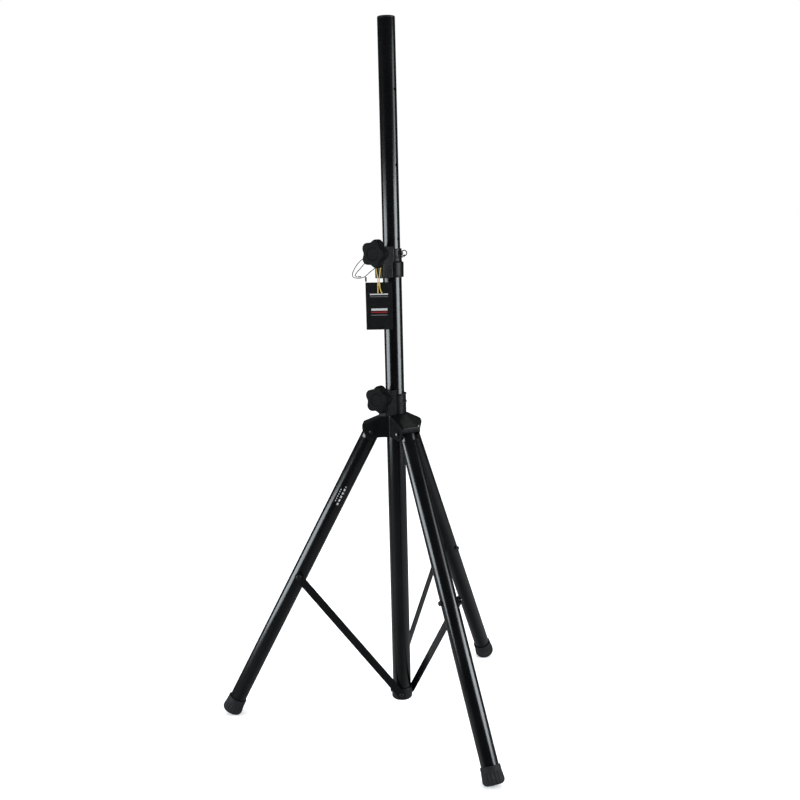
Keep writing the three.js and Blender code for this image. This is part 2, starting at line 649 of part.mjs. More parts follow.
addPole();
addUpperCollar();
addHub();
addHubCollar();
addClamp('upper', UPPER_KNOB_Z, UPPER_PAD_FACE);
addClamp('lower', LOWER_KNOB_Z, LOWER_PAD_FACE);
for (const [side, azimuth] of Object.entries(LEGS)) addLeg(side, azimuth);
addSafetyPin();
addLanyard();
addTag();

export default stand;
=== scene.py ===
import math

import bmesh
import bpy
from mathutils import Matrix, Vector


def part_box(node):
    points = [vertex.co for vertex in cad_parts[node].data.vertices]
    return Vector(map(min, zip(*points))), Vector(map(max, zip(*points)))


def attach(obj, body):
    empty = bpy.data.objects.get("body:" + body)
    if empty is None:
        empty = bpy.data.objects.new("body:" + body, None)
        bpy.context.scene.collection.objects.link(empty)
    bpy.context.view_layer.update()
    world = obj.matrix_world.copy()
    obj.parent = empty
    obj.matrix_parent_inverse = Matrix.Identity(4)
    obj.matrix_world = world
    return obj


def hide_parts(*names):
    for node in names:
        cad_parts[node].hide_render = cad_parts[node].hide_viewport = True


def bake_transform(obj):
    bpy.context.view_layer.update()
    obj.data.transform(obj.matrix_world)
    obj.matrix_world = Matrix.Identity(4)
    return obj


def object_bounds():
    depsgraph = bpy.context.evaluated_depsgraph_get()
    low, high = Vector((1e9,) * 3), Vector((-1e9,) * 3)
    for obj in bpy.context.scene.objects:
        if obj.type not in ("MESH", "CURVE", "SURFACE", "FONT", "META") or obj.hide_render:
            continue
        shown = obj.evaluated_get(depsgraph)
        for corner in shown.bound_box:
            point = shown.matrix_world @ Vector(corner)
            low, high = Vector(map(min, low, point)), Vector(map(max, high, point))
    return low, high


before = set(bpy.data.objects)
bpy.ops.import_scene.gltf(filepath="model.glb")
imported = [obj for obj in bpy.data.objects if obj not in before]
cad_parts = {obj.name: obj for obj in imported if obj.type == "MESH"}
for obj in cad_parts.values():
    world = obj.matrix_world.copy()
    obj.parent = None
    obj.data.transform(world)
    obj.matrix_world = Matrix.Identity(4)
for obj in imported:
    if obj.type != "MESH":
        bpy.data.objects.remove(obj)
cad_low, cad_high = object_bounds()

MM = 0.001


def rad(degrees):
    return math.radians(degrees)


def span(node, axis):
    low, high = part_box(node)
    return high[axis] - low[axis]


# ------------------------------------------------------------------ sizes: some read from the imported model, the rest given here

FLOOR_Z = cad_low.z
TUBE_R = span("outer_tube", 0) / 2
TUBE_BOTTOM, TUBE_TOP = (corner.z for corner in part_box("outer_tube"))
TUBE_WALL = 1.2 * MM
MAST_R = span("mast", 0) / 2
MAST_BOTTOM, MAST_TOP = (corner.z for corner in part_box("mast"))
MAST_WALL = 1.5 * MM
PLUG_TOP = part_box("mast_top_plug")[1].z
CAP_R = span("bottom_cap", 0) / 2
CAP_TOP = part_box("bottom_cap")[1].z
COLLAR_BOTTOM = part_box("upper_collar")[0].z
HUB_BOTTOM, HUB_TOP = (corner.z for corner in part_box("hub"))
HUB_COLLAR_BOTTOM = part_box("hub_collar")[0].z
UPPER_KNOB_Z = 945 * MM
LOWER_KNOB_Z = 654.5 * MM
COLLAR_TOP = UPPER_KNOB_Z + 8 * MM
HUB_COLLAR_TOP = 660 * MM
PIN_AZIMUTH = 55
PIN_HOLE_R = 3.3 * MM
PIN_HOLE_HEIGHTS = [(537 + 145 * index) * MM for index in range(6)]
KNOB_AZIMUTH = -30
KNOB_BACK_R = 53 * MM
KNOB_THICK = 15.5 * MM
KNOB_TIP_R = 29 * MM
KNOB_VALLEY_R = 23.1 * MM
SCREW_R = 4 * MM
BOSS_FACE_R = 48 * MM
LEGS = {"left": -90, "front": 30, "back": 150}
LEG_R = 17.2 * MM
LEG_WALL = 1.2 * MM
LEG_SPREAD = 27.7
LEG_PIVOT_R = 49 * MM
LEG_PIVOT_Z = 583 * MM
LEG_TO_FOOT_END = 693 * MM
LEG_TO_BRACE = 346.5 * MM
BRACE_PIVOT_Z = 14.5 * MM
BRACE_WIDTH = 16.5 * MM
BRACE_THICK = 2.4 * MM
BRACE_OFFSET = CAP_R + 0.5 * MM
LUG_HALF_WIDTH = 20.8 * MM
LUG_REACH = 68 * MM
LUG_NOSE_R = 8 * MM
HUB_COLLAR_R = 22.5 * MM
HUB_BORE_R = 19.4 * MM
HUB_ROOF_SLOPE = 22
GAP = 0.3 * MM
PIN_Z = 944 * MM
PIN_EYE_R = 24.9 * MM
RING_R = 5.3 * MM
RING_WIRE_R = 1.05 * MM
LANYARD_R = 0.75 * MM
LANYARD_LOOP_R = 51.9 * MM
STRING_R = 1.1 * MM
STRING_LOOP_R = 49.5 * MM
TAG_WIDTH = 53 * MM
TAG_HEIGHT = 94 * MM
TAG_TOP = 888.5 * MM


def outward(azimuth):
    return Vector((math.sin(rad(azimuth)), -math.cos(rad(azimuth)), 0))


# ------------------------------------------------------------------ camera


def add_camera():
    distance, height = 2.295036, 1.025306
    azimuth, yaw, pitch, roll = rad(3.116), rad(-0.247), rad(9.42), rad(-1.34)
    data = bpy.data.cameras.new("camera")
    data.sensor_width = 36
    data.lens = 51.0563
    data.clip_start, data.clip_end = 0.05, 100
    camera = bpy.data.objects.new("camera", data)
    heading = Vector((-math.sin(azimuth + yaw), math.cos(azimuth + yaw), 0))
    forward = heading * math.cos(pitch) + Vector((0, 0, -math.sin(pitch)))
    right = Vector((heading.y, -heading.x, 0))
    up = right.cross(forward)
    side = right * math.cos(roll) + up * math.sin(roll)
    top = up * math.cos(roll) - right * math.sin(roll)
    turn = Matrix((side, top, -forward)).transposed().to_4x4()
    place = Vector((math.sin(azimuth), -math.cos(azimuth), 0)) * distance
    camera.matrix_world = Matrix.Translation(place + Vector((0, 0, height))) @ turn
    bpy.context.scene.collection.objects.link(camera)
    bpy.context.scene.camera = camera


add_camera()

# ------------------------------------------------------------------ materials


class Nodes:
    """Short way to write a node tree that ends in one Principled shader."""

    def __init__(self, name, colour, roughness, **sockets):
        self.material = bpy.data.materials.new(name)
        self.material.use_nodes = True
        self.tree = self.material.node_tree
        self.tree.nodes.clear()
        self.shader = self.tree.nodes.new("ShaderNodeBsdfPrincipled")
        output = self.tree.nodes.new("ShaderNodeOutputMaterial")
        self.tree.links.new(self.shader.outputs[0], output.inputs[0])
        self.shader.inputs["Base Color"].default_value = (*colour, 1)
        self.shader.inputs["Roughness"].default_value = roughness
        for socket, value in sockets.items():
            self.shader.inputs[socket.replace("_", " ")].default_value = value
        self.place = self.tree.nodes.new("ShaderNodeTexCoord").outputs["Object"]
        self.height = None

    def put(self, node, socket, value):
        if isinstance(value, bpy.types.NodeSocket):
            self.tree.links.new(value, node.inputs[socket])
        elif isinstance(value, tuple) and len(value) == 3 and node.inputs[socket].type == "RGBA":
            node.inputs[socket].default_value = (*value, 1)
        else:
            node.inputs[socket].default_value = value

    def math(self, operation, first, second=0.0, clamp=False):
        node = self.tree.nodes.new("ShaderNodeMath")
        node.operation = operation
        node.use_clamp = clamp
        self.put(node, 0, first)
        self.put(node, 1, second)
        return node.outputs[0]

    def stretched(self, scale, source=None):
        node = self.tree.nodes.new("ShaderNodeMapping")
        self.put(node, "Vector", source or self.place)
        node.inputs["Scale"].default_value = scale
        return node.outputs[0]

    def noise(self, scale, detail=2.0, rough=0.5, source=None):
        node = self.tree.nodes.new("ShaderNodeTexNoise")
        self.put(node, "Vector", source or self.place)
        node.inputs["Scale"].default_value = scale
        node.inputs["Detail"].default_value = detail
        node.inputs["Roughness"].default_value = rough
        return node.outputs["Fac"]

    def cells(self, scale, source=None):
        node = self.tree.nodes.new("ShaderNodeTexVoronoi")
        self.put(node, "Vector", source or self.place)
        node.inputs["Scale"].default_value = scale
        return node.outputs["Distance"]

    def remap(self, value, low, high, to_low, to_high, smooth=False):
        node = self.tree.nodes.new("ShaderNodeMapRange")
        node.interpolation_type = "SMOOTHSTEP" if smooth else "LINEAR"
        self.put(node, "Value", value)
        for socket, number in (("From Min", low), ("From Max", high), ("To Min", to_low), ("To Max", to_high)):
            node.inputs[socket].default_value = number
        return node.outputs[0]

    def mixed(self, factor, first, second):
        node = self.tree.nodes.new("ShaderNodeMix")
        node.data_type = "RGBA"
        self.put(node, 0, factor)
        for index, value in ((6, first), (7, second)):
            if isinstance(value, tuple):
                node.inputs[index].default_value = (*value, 1)
            else:
                self.tree.links.new(value, node.inputs[index])
        return node.outputs[2]

    def attribute(self, name):
        node = self.tree.nodes.new("ShaderNodeAttribute")
        node.attribute_name = name
        return node.outputs["Fac"]

    def axis(self, which):
        node = self.tree.nodes.new("ShaderNodeSeparateXYZ")
        self.put(node, 0, self.place)
        return node.outputs[which]

    def colour(self, value):
        self.put(self.shader, "Base Color", value)

    def rough(self, value):
        self.put(self.shader, "Roughness", value)

    def bump(self, value, distance, strength=1.0):
        node = self.tree.nodes.new("ShaderNodeBump")
        node.inputs["Strength"].default_value = strength
        node.inputs["Distance"].default_value = distance
        self.put(node, "Height", value)
        if self.height is not None:
            self.tree.links.new(self.height, node.inputs["Normal"])
        self.height = node.outputs[0]
        self.tree.links.new(self.height, self.shader.inputs["Normal"])


def gloss_paint(name, printed=False):
    """Black stoved paint: faint orange peel, fine dust in the roughness, a few hairline rubs."""
    made = Nodes(name, (0.0012, 0.0013, 0.0015), 0.2, Specular_IOR_Level=0.4)
    peel = made.noise(320, 2.0)
    made.bump(peel, 0.00002, 0.3)
    rub = made.noise(30, 4.0, 0.65, made.stretched((1, 1, 0.12)))
    made.rough(made.remap(rub, 0.35, 0.75, 0.16, 0.26))
    base = made.mixed(made.remap(made.noise(9, 3.0), 0.35, 0.7, 0, 1), (0.001, 0.0011, 0.0013), (0.0022, 0.0024, 0.0028))
    if printed:
        base = made.mixed(print_mask(made), base, (0.3, 0.305, 0.31))
    made.colour(base)
    return made.material


def print_mask(made):
    """Two rows of plain pale dashes, printed along the tube: a generic mark with no lettering."""
    along, around = made.attribute("along"), made.attribute("around")
    mask = None
    rows = [(0.128, 0.172, -6.4, -2.9, 120.0, 0.62), (0.134, 0.166, 1.6, 3.4, 190.0, 0.5)]
    for start, end, low, high, pitch, filled in rows:
        inside = made.math("MULTIPLY", made.remap(along, start, start + 0.0006, 0, 1), made.remap(along, end, end + 0.0006, 1, 0))
        height = made.math(
            "MULTIPLY",
            made.remap(around, low * MM, (low + 0.35) * MM, 0, 1),
            made.remap(around, high * MM, (high + 0.35) * MM, 1, 0),
        )
        dash = made.math("LESS_THAN", made.math("FRACT", made.math("MULTIPLY", along, pitch)), filled)
        row = made.math("MULTIPLY", made.math("MULTIPLY", inside, height), dash)
        mask = row if mask is None else made.math("MAXIMUM", mask, row)
    return mask


def moulded(name, dark, light, roughness, grain=1500, depth=0.00009, specular=0.35):
    """Matt moulded plastic: fine spark-eroded grain, cloudy tone, slight polish on handled areas."""
    made = Nodes(name, dark, roughness, Specular_IOR_Level=specular)
    fine = made.cells(grain)
    made.bump(fine, depth, 0.55)
    made.bump(made.noise(90, 3.0), 0.00025, 0.18)
    cloud = made.noise(38, 4.0, 0.6)
    made.colour(made.mixed(made.remap(cloud, 0.33, 0.7, 0, 1), dark, light))
    polish = made.noise(22, 3.0, 0.6)
    made.rough(made.remap(polish, 0.3, 0.75, roughness - 0.08, roughness + 0.1))
    return made.material


def rubber(name):
    made = Nodes(name, (0.008, 0.009, 0.011), 0.7, Specular_IOR_Level=0.2)
    made.bump(made.noise(900, 3.0), 0.00012, 0.5)
    dust = made.remap(made.noise(60, 5.0, 0.65), 0.42, 0.72, 0, 1)
    low = made.remap(made.axis(2), FLOOR_Z, FLOOR_Z + 0.022, 0.65, 0.06, smooth=True)
    made.colour(made.mixed(made.math("MULTIPLY", dust, low), (0.0075, 0.0085, 0.010), (0.03, 0.03, 0.03)))
    made.rough(made.remap(made.noise(130, 3.0), 0.3, 0.7, 0.58, 0.82))
    return made.material


def metal(name, dark, light, roughness, metallic=1.0, streak=(1, 1, 1)):
    made = Nodes(name, dark, roughness, Metallic=metallic)
    fine = made.noise(700, 4.0, 0.6, made.stretched(streak))
    made.bump(fine, 0.00004, 0.5)
    made.colour(made.mixed(made.remap(made.noise(160, 4.0, 0.6), 0.35, 0.7, 0, 1), dark, light))
    made.rough(made.remap(made.noise(240, 3.0), 0.3, 0.7, roughness - 0.08, roughness + 0.14))
    return made.material


def wire_coat(name):
    made = Nodes(name, (0.006, 0.006, 0.0062), 0.32, Coat_Weight=0.15, Coat_Roughness=0.12)
    # Painted shade and highlight: the coat is painted darker in the grooves between strands and lighter on the strand
    # crests, following each point's height on its strand.
    crest_and_groove_shading = made.attribute("crest_and_groove_shading")
    made.colour(made.mixed(made.remap(crest_and_groove_shading, 0.35, 0.8, 0, 1), (0.003, 0.003, 0.0032), (0.018, 0.0185, 0.019)))
    made.rough(made.remap(made.noise(900, 3.0), 0.3, 0.7, 0.25, 0.42))
    return made.material


def card(name):
    """Black coated card with a generic print: plain rules across it, one of them red, and no lettering."""
    made = Nodes(name, (0.006, 0.006, 0.0065), 0.34, Specular_IOR_Level=0.4)
    across, down = made.attribute("across"), made.attribute("down")

    def bar(left, right, top, bottom, colour, under):
        box = 1.0
        for value, low, high in ((across, left, right), (down, top, bottom)):
            part = made.math(
                "MULTIPLY",
                made.remap(value, low * MM - 0.00015, low * MM + 0.00015, 0, 1),
                made.remap(value, high * MM - 0.00015, high * MM + 0.00015, 1, 0),
            )
            box = made.math("MULTIPLY", box, part)
        return made.mixed(box, under, colour)

    ink = made.mixed(made.remap(made.noise(420, 4.0, 0.6), 0.4, 0.62, 0, 1), (0.0022, 0.0022, 0.0024), (0.0042, 0.0042, 0.0046))
    pale = made.mixed(made.remap(made.noise(800, 3.0), 0.4, 0.6, 0, 1), (0.26, 0.265, 0.27), (0.36, 0.365, 0.37))
    red = (0.16, 0.003, 0.004)
    dim = (0.11, 0.11, 0.114)
    for left, right, top, bottom, colour in (
        (-18, 18, 22.5, 24.9, pale), (-18, 18, 28, 28.9, dim), (-16, 16, 51.8, 56, pale),
        (-16, 16, 58.2, 60.4, red), (-16, 16, 64.4, 65.5, dim),
    ):
        ink = bar(left, right, top, bottom, colour, ink)
    made.colour(ink)
    made.bump(made.noise(1400, 3.0), 0.00003, 0.4)
    made.rough(made.remap(made.noise(70, 3.0), 0.3, 0.7, 0.28, 0.44))
    return made.material


def yarn(name):
    made = Nodes(name, (0.62, 0.45, 0.09), 0.75, Sheen_Weight=0.35, Sheen_Roughness=0.4)
    # Painted shade and highlight: the yarn is painted darker in the grooves between strands and lighter on the strand
    # crests, following each point's height on its strand. The pale fibre speckle is the yarn's own colour.
    crest_and_groove_shading = made.attribute("crest_and_groove_shading")
    strand = made.mixed(made.remap(crest_and_groove_shading, 0.2, 0.8, 0, 1), (0.2, 0.12, 0.004), (0.42, 0.285, 0.03))
    fibre = made.noise(2600, 3.0, 0.6)
    made.colour(made.mixed(made.remap(fibre, 0.42, 0.7, 0, 0.35), strand, (0.45, 0.40, 0.22)))
    made.bump(fibre, 0.00012, 0.7)
    made.rough(made.remap(made.noise(700, 2.0), 0.3, 0.7, 0.65, 0.85))
    return made.material


PAINT = gloss_paint("paint")
PAINT_MARKED = gloss_paint("paint_marked", printed=True)
CLAMP_PLASTIC = moulded("clamp_plastic_grain", (0.0026, 0.0029, 0.003), (0.0048, 0.0053, 0.0055), 0.28, specular=0.1)
KNOB_PLASTIC = moulded("knob_plastic_grain", (0.0026, 0.0029, 0.0029), (0.0044, 0.0048, 0.0048), 0.5, depth=0.00011,
                       specular=0.03)
CAP_PLASTIC = moulded("cap_plastic_grain", (0.0045, 0.0048, 0.0055), (0.007, 0.0075, 0.0085), 0.4, specular=0.2)
FOOT_RUBBER = rubber("foot_rubber_grain")
BLACK_STEEL = metal("black_steel", (0.004, 0.0043, 0.0046), (0.011, 0.0115, 0.012), 0.36, metallic=0.3)
BRIGHT_STEEL = metal("plated_steel", (0.50, 0.51, 0.52), (0.66, 0.67, 0.68), 0.3, streak=(1, 1, 0.2))
WIRE = wire_coat("wire_coat")
CARD = card("card_print")
YARN = yarn("yarn")

# ------------------------------------------------------------------ mesh tools


def fillet(points, radius, steps=4, closed=True):
    """Rounds the corners of a polyline of (a, b) pairs. A third number on a point is its own radius."""
    count = len(points)
    out = []
    for index, point in enumerate(points):
        here = Vector(point[:2])
        own = point[2] if len(point) > 2 else radius
        at_end = not closed and index in (0, count - 1)
        before = Vector(points[index - 1][:2])
        after = Vector(points[(index + 1) % count][:2])
        back, on = before - here, after - here
        if at_end or own <= 0 or back.length < 1e-9 or on.length < 1e-9:
            out.append(tuple(here))
            continue
        angle = back.angle(on)
        if angle > rad(172) or angle < rad(5):
            out.append(tuple(here))
            continue
        cut = min(own / math.tan(angle / 2), back.length * 0.49, on.length * 0.49)
        reach = cut * math.tan(angle / 2)
        start, end = here + back.normalized() * cut, here + on.normalized() * cut
        centre = here + (back.normalized() + on.normalized()).normalized() * (reach / math.sin(angle / 2))
        first, last = start - centre, end - centre
        sweep = first.angle_signed(last) * -1
        for step in range(steps + 1):
            turn = sweep * step / steps
            c, s = math.cos(turn), math.sin(turn)
            out.append((centre.x + first.x * c - first.y * s, centre.y + first.x * s + first.y * c))
    return out


def revolve(profile, sides=96, place=None, along_x=False):
    """Turned solid about +Z from (radius, height) pairs; a profile that starts off the axis closes on itself."""
    bm = bmesh.new()
    rings = []
    for radius, height in profile:
        if radius < 1e-7:
            rings.append([bm.verts.new((0, 0, height))])
            continue
        ring = []
        for index in range(sides):
            angle = 2 * math.pi * index / sides
            ring.append(bm.verts.new((radius * math.cos(angle), radius * math.sin(angle), height)))
        rings.append(ring)
    if profile[0][0] > 1e-7:
        rings.append(rings[0])
    for lower, upper in zip(rings, rings[1:]):
        join_rings(bm, lower, upper)
    return finished(bm, place, along_x)


def join_rings(bm, lower, upper):
    count = max(len(lower), len(upper))
    for index in range(count):
        following = (index + 1) % count
        if len(lower) == 1 and len(upper) == 1:
            return
        if len(lower) == 1:
            bm.faces.new((lower[0], upper[following], upper[index]))
        elif len(upper) == 1:
            bm.faces.new((lower[index], lower[following], upper[0]))
        else:
            bm.faces.new((lower[index], lower[following], upper[following], upper[index]))


def finished(bm, place=None, along_x=False):
    bmesh.ops.recalc_face_normals(bm, faces=bm.faces)
    if along_x:
        bmesh.ops.transform(bm, matrix=Matrix.Rotation(rad(90), 4, "Y"), verts=bm.verts)
    if place is not None:
        bmesh.ops.transform(bm, matrix=place, verts=bm.verts)
    return bm


def prism(outline, low, high, place=None, edge=0.0, steps=2):
    """Flat outline (x, y) swept from low to high along +Z, with its rims rounded by edge."""
    bm = bmesh.new()
    lower = [bm.verts.new((x, y, low)) for x, y in outline]
    upper = [bm.verts.new((x, y, high)) for x, y in outline]
    join_rings(bm, lower, upper)
    faces = [bm.faces.new(lower[::-1]), bm.faces.new(upper)]
    if edge > 0:
        rims = [e for face in faces for e in face.edges]
        bmesh.ops.bevel(bm, geom=rims, offset=edge, segments=steps, profile=0.5, affect="EDGES", clamp_overlap=True)
    return finished(bm, place)


def evaluated(obj):
    graph = bpy.context.evaluated_depsgraph_get()
    return bpy.data.meshes.new_from_object(obj.evaluated_get(graph))


def scratch(bm):
    mesh = bpy.data.meshes.new("scratch")
    bm.to_mesh(mesh)
    bm.free()
    obj = bpy.data.objects.new("scratch", mesh)
    bpy.context.scene.collection.objects.link(obj)
    return obj


def drop(*objects):
    for obj in objects:
        mesh = obj.data
        bpy.data.objects.remove(obj)
        bpy.data.meshes.remove(mesh)


def combined(base, joined=(), cut=(), settings=None):
    """One bmesh from a base with others joined and cut, then whatever modifiers settings adds."""
    target = scratch(base)
    helpers = []
    for operation, shapes in (("UNION", joined), ("DIFFERENCE", cut)):
        for shape in shapes:
            helper = scratch(shape)
            helper.hide_render = True
            modifier = target.modifiers.new(operation, "BOOLEAN")
            modifier.operation = operation
            modifier.solver = "EXACT"
            modifier.object = helper
            helpers.append(helper)
    if settings:
        settings(target)
    mesh = evaluated(target)
    bm = bmesh.new()
    bm.from_mesh(mesh)
    bpy.data.meshes.remove(mesh)
    drop(target, *helpers)
    return bm


def piece(name, bm, material, body, stands_for=(), sharp=35, attributes=None):
    mesh = bpy.data.meshes.new(name)
    bm.to_mesh(mesh)
    bm.free()
    obj = bpy.data.objects.new(name, mesh)
    bpy.context.scene.collection.objects.link(obj)
    mesh.materials.append(material)
    mesh.polygons.foreach_set("use_smooth", [True] * len(mesh.polygons))
    if sharp:
        mesh.set_sharp_from_angle(angle=rad(sharp))
    for label, values in (attributes or {}).items():
        layer = mesh.attributes.new(label, "FLOAT", "POINT")
        layer.data.foreach_set("value", values)
    if body:
        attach(obj, body)
    if stands_for:
        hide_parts(*stands_for)
    return obj


def facing(azimuth, z=0.0):
    """Places a shape whose +X is to point outward at an azimuth."""
    return Matrix.Translation((0, 0, z)) @ Matrix.Rotation(rad(azimuth - 90), 4, "Z")


def round_tool(start, end, radius, sides=48):
    """Plain round cutter from one point to another."""
    axis = end - start
    turn = axis.to_track_quat("Z", "Y").to_matrix().to_4x4()
    place = Matrix.Translation(start) @ turn
    return revolve([(0, 0), (radius, 0), (radius, axis.length), (0, axis.length)], sides, place)


# ------------------------------------------------------------------ cords


def smooth_route(points, step):
    """Centripetal Catmull-Rom curve through the points, cut into equal steps."""
    points = [Vector(p) for p in points]
    ends = [points[0] * 2 - points[1]] + points + [points[-1] * 2 - points[-2]]
    fine = []
    for index in range(1, len(ends) - 2):
        p0, p1, p2, p3 = ends[index - 1 : index + 3]
        d0, d1, d2 = ((b - a).length ** 0.5 for a, b in ((p0, p1), (p1, p2), (p2, p3)))
        t1 = ((p1 - p0) / d0 - (p2 - p0) / (d0 + d1) + (p2 - p1) / d1) * d1
        t2 = ((p2 - p1) / d1 - (p3 - p1) / (d1 + d2) + (p3 - p2) / d2) * d1
        for part in range(24):
            t = part / 24
            curved = (p1 * -3 + p2 * 3 - t1 * 2 - t2) * t * t + (p1 * 2 - p2 * 2 + t1 + t2) * t**3
            fine.append(p1 + t1 * t + curved)
    fine.append(points[-1])
    lengths = [0.0]
    for a, b in zip(fine, fine[1:]):
        lengths.append(lengths[-1] + (b - a).length)
    count = max(2, round(lengths[-1] / step))
    route, at = [], 0
    for index in range(count + 1):
        target = lengths[-1] * index / count
        while at < len(lengths) - 2 and lengths[at + 1] < target:
            at += 1
        share = (target - lengths[at]) / max(lengths[at + 1] - lengths[at], 1e-12)
        route.append(fine[at].lerp(fine[at + 1], min(1.0, share)))
    return route, lengths[-1]


def twisted_tube(route, radius, strands, pitch, sides, groove):
    """Cord whose section has round strands that turn along it, with rounded ends. Returns the mesh and how far
    each point stands up on its strand."""
    bm = bmesh.new()
    rings, stand_up = [], []
    normal = None
    travelled = 0.0
    last = len(route) - 1
    for index, point in enumerate(route):
        ahead = route[min(index + 1, last)] - route[max(index - 1, 0)]
        tangent = ahead.normalized()
        if normal is None:
            normal = tangent.orthogonal().normalized()
        normal = (normal - tangent * normal.dot(tangent)).normalized()
        binormal = tangent.cross(normal)
        if index:
            travelled += (point - route[index - 1]).length
        ring = []
        for side in range(sides):
            angle = 2 * math.pi * side / sides
            lobe = abs(math.cos(strands * (angle + 2 * math.pi * travelled / pitch / strands * strands) / 2))
            here = radius * (1 - groove * (1 - lobe))
            if index in (0, last):
                here *= 0.72
            offset = normal * math.cos(angle) + binormal * math.sin(angle)
            ring.append(bm.verts.new(point + offset * here))
            stand_up.append(lobe)
        rings.append(ring)
    for lower, upper in zip(rings, rings[1:]):
        join_rings(bm, lower, upper)
    bm.faces.new(rings[0][::-1])
    bm.faces.new(rings[-1])
    return finished(bm), stand_up


def beside_screw(radius, offset, z):
    along = outward(KNOB_AZIMUTH)
    right = Vector((-along.y, along.x, 0))
    return along * radius + right * offset + Vector((0, 0, z))


def in_metres(rows):
    return [Vector(row) * MM for row in rows]


def add_lanyard():
    from_pin = in_metres([
        (25.6, -5.5, 938.5), (25.6, 3, 937), (23, 13, 935.5), (15, 22.5, 934.5), (2, 27.5, 934),
        (-13, 25.5, 934.5), (-27, 15.5, 936), (-38, 1.5, 938), (-47, -13, 938.5), (-54.5, -25, 935.5),
        (-61, -32, 930.5), (-67.5, -35, 923.5), (-73.5, -36, 914), (-77, -36, 904.5), (-75.5, -36, 899.4),
        (-69.5, -36, 897.3), (-61, -36, 897.3), (-54, -36.5, 899), (-48.5, -37, 903), (-41.5, -37.8, 909),
    ])
    beside = [(-8.5, 915), (-3, 921), (2, 929), (4.9, 937)]
    loop = SCREW_R / MM + LANYARD_R / MM + 0.5
    for angle in (0, 35, 70, 105, 135):
        beside.append((loop * math.cos(rad(angle)), UPPER_KNOB_Z / MM + loop * math.sin(rad(angle))))
    beside += [(-10, 943), (-19, 936), (-27, 928.5)]
    to_crimp = in_metres([
        (-53.5, -31.5, 924.5), (-63, -33.5, 914), (-70, -35.2, 906), (-71.6, -36, 902.6),
        (-69.8, -36, 900.6), (-67.2, -36, 899.9),
    ])
    points = from_pin + [beside_screw(LANYARD_LOOP_R, o * MM, z * MM) for o, z in beside] + to_crimp
    route, length = smooth_route(points, 0.7 * MM)
    bm, crest_and_groove_shading = twisted_tube(route, LANYARD_R + 0.1 * MM, 6, 9 * MM, 18, 0.2)
    lanyard = piece("lanyard_wire", bm, WIRE, None, sharp=0, attributes={"crest_and_groove_shading": crest_and_groove_shading})
    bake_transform(lanyard)
    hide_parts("lanyard")

    crimp = crimp_sleeve(Vector((-66.9, -36, 899.9)) * MM, Vector((-59.5, -36, 899.9)) * MM, 1.2 * MM)
    crimp = piece("lanyard_crimp_sleeve", crimp, BRIGHT_STEEL, "pole", ["lanyard_crimp"])
    end = crimp_sleeve(Vector((25.6, -11.9, 939.6)) * MM, Vector((25.6, -5.8, 938.6)) * MM, 1.5 * MM)
    end = piece("lanyard_end_sleeve", end, WIRE, "safety_pin", ["lanyard_end"])
    sleeve = crimp_sleeve(Vector((-50.5, -36.8, 889.5)) * MM, Vector((-50.5, -36.8, 899.2)) * MM, 1.8 * MM)
    sleeve = piece("lanyard_stub", sleeve, WIRE, "pole", ["lanyard_sleeve"])


def crimp_sleeve(start, end, radius):
    """Short crimped sleeve: rounded ends and three pressed waists."""
    length = (end - start).length
    profile = [(0, 0), (radius * 0.8, 0), (radius * 0.97, radius * 0.2)]
    for index in range(25):
        share = 0.08 + 0.84 * index / 24
        dent = 0.1 * (0.5 - 0.5 * math.cos(3 * 2 * math.pi * (share - 0.08) / 0.84))
        profile.append((radius * (1 - dent), length * share))
    profile += [(radius * 0.97, length - radius * 0.2), (radius * 0.8, length), (0, length)]
    turn = (end - start).to_track_quat("Z", "Y").to_matrix().to_4x4()
    return revolve(profile, 32, Matrix.Translation(start) @ turn)


def string_points():
    middle = outward(KNOB_AZIMUTH) * STRING_LOOP_R
    front = middle.y - 0.45 * MM - STRING_R - GAP
    loop = SCREW_R + STRING_R + GAP
    x, y = middle.x, middle.y - 0.6 * MM
    points = [
        Vector((x - 1.8 * MM, front, 0.8665)), Vector((x - 1.8 * MM, front, 0.876)),
        Vector((x - 1.6 * MM, front, 0.886)), Vector((x - 1.5 * MM, y, 0.896)),
        beside_screw(STRING_LOOP_R, -loop + 0.2 * MM, 0.917), beside_screw(STRING_LOOP_R, -loop, 0.935),
        beside_screw(STRING_LOOP_R, -loop, UPPER_KNOB_Z),
    ]
    for angle in (150, 120, 90, 60, 30):
        height = UPPER_KNOB_Z + loop * math.sin(rad(angle))
        points.append(beside_screw(STRING_LOOP_R, loop * math.cos(rad(angle)), height))
    points += [
        beside_screw(STRING_LOOP_R, loop, UPPER_KNOB_Z), beside_screw(STRING_LOOP_R, loop, 0.935),
        beside_screw(STRING_LOOP_R, loop - 0.2 * MM, 0.917), Vector((x + 1.5 * MM, y, 0.896)),
        Vector((x + 1.6 * MM, front, 0.886)), Vector((x + 2.6 * MM, front, 0.876)),
        Vector((x + 6 * MM, front, 0.8665)),
    ]
    return points


def add_tag():
    points = string_points()
    route, length = smooth_route(points, 0.45 * MM)
    bm, crest_and_groove_shading = twisted_tube(route, STRING_R, 3, 7 * MM, 18, 0.34)
    string = piece("tag_string_yarn", bm, YARN, "tag", ["tag_string"], sharp=0, attributes={"crest_and_groove_shading": crest_and_groove_shading})

    middle = outward(KNOB_AZIMUTH) * STRING_LOOP_R
    knot_points = []
    turns = 40
    for index in range(turns + 1):
        angle = 2 * math.pi * 2.2 * index / turns
        knot_points.append(Vector((
            middle.x + 2.0 * MM * math.cos(angle) + 0.3 * MM,
            middle.y - 3.1 * MM + 1.1 * MM * math.sin(angle),
            0.8872 - 4.6 * MM * index / turns,
        )))
    knot_route, _ = smooth_route(knot_points, 0.5 * MM)
    bm, crest_and_groove_shading = twisted_tube(knot_route, STRING_R, 3, 7 * MM, 14, 0.3)
    knot = piece("tag_string_knot", bm, YARN, "tag", sharp=0, attributes={"crest_and_groove_shading": crest_and_groove_shading})
    add_card(middle)


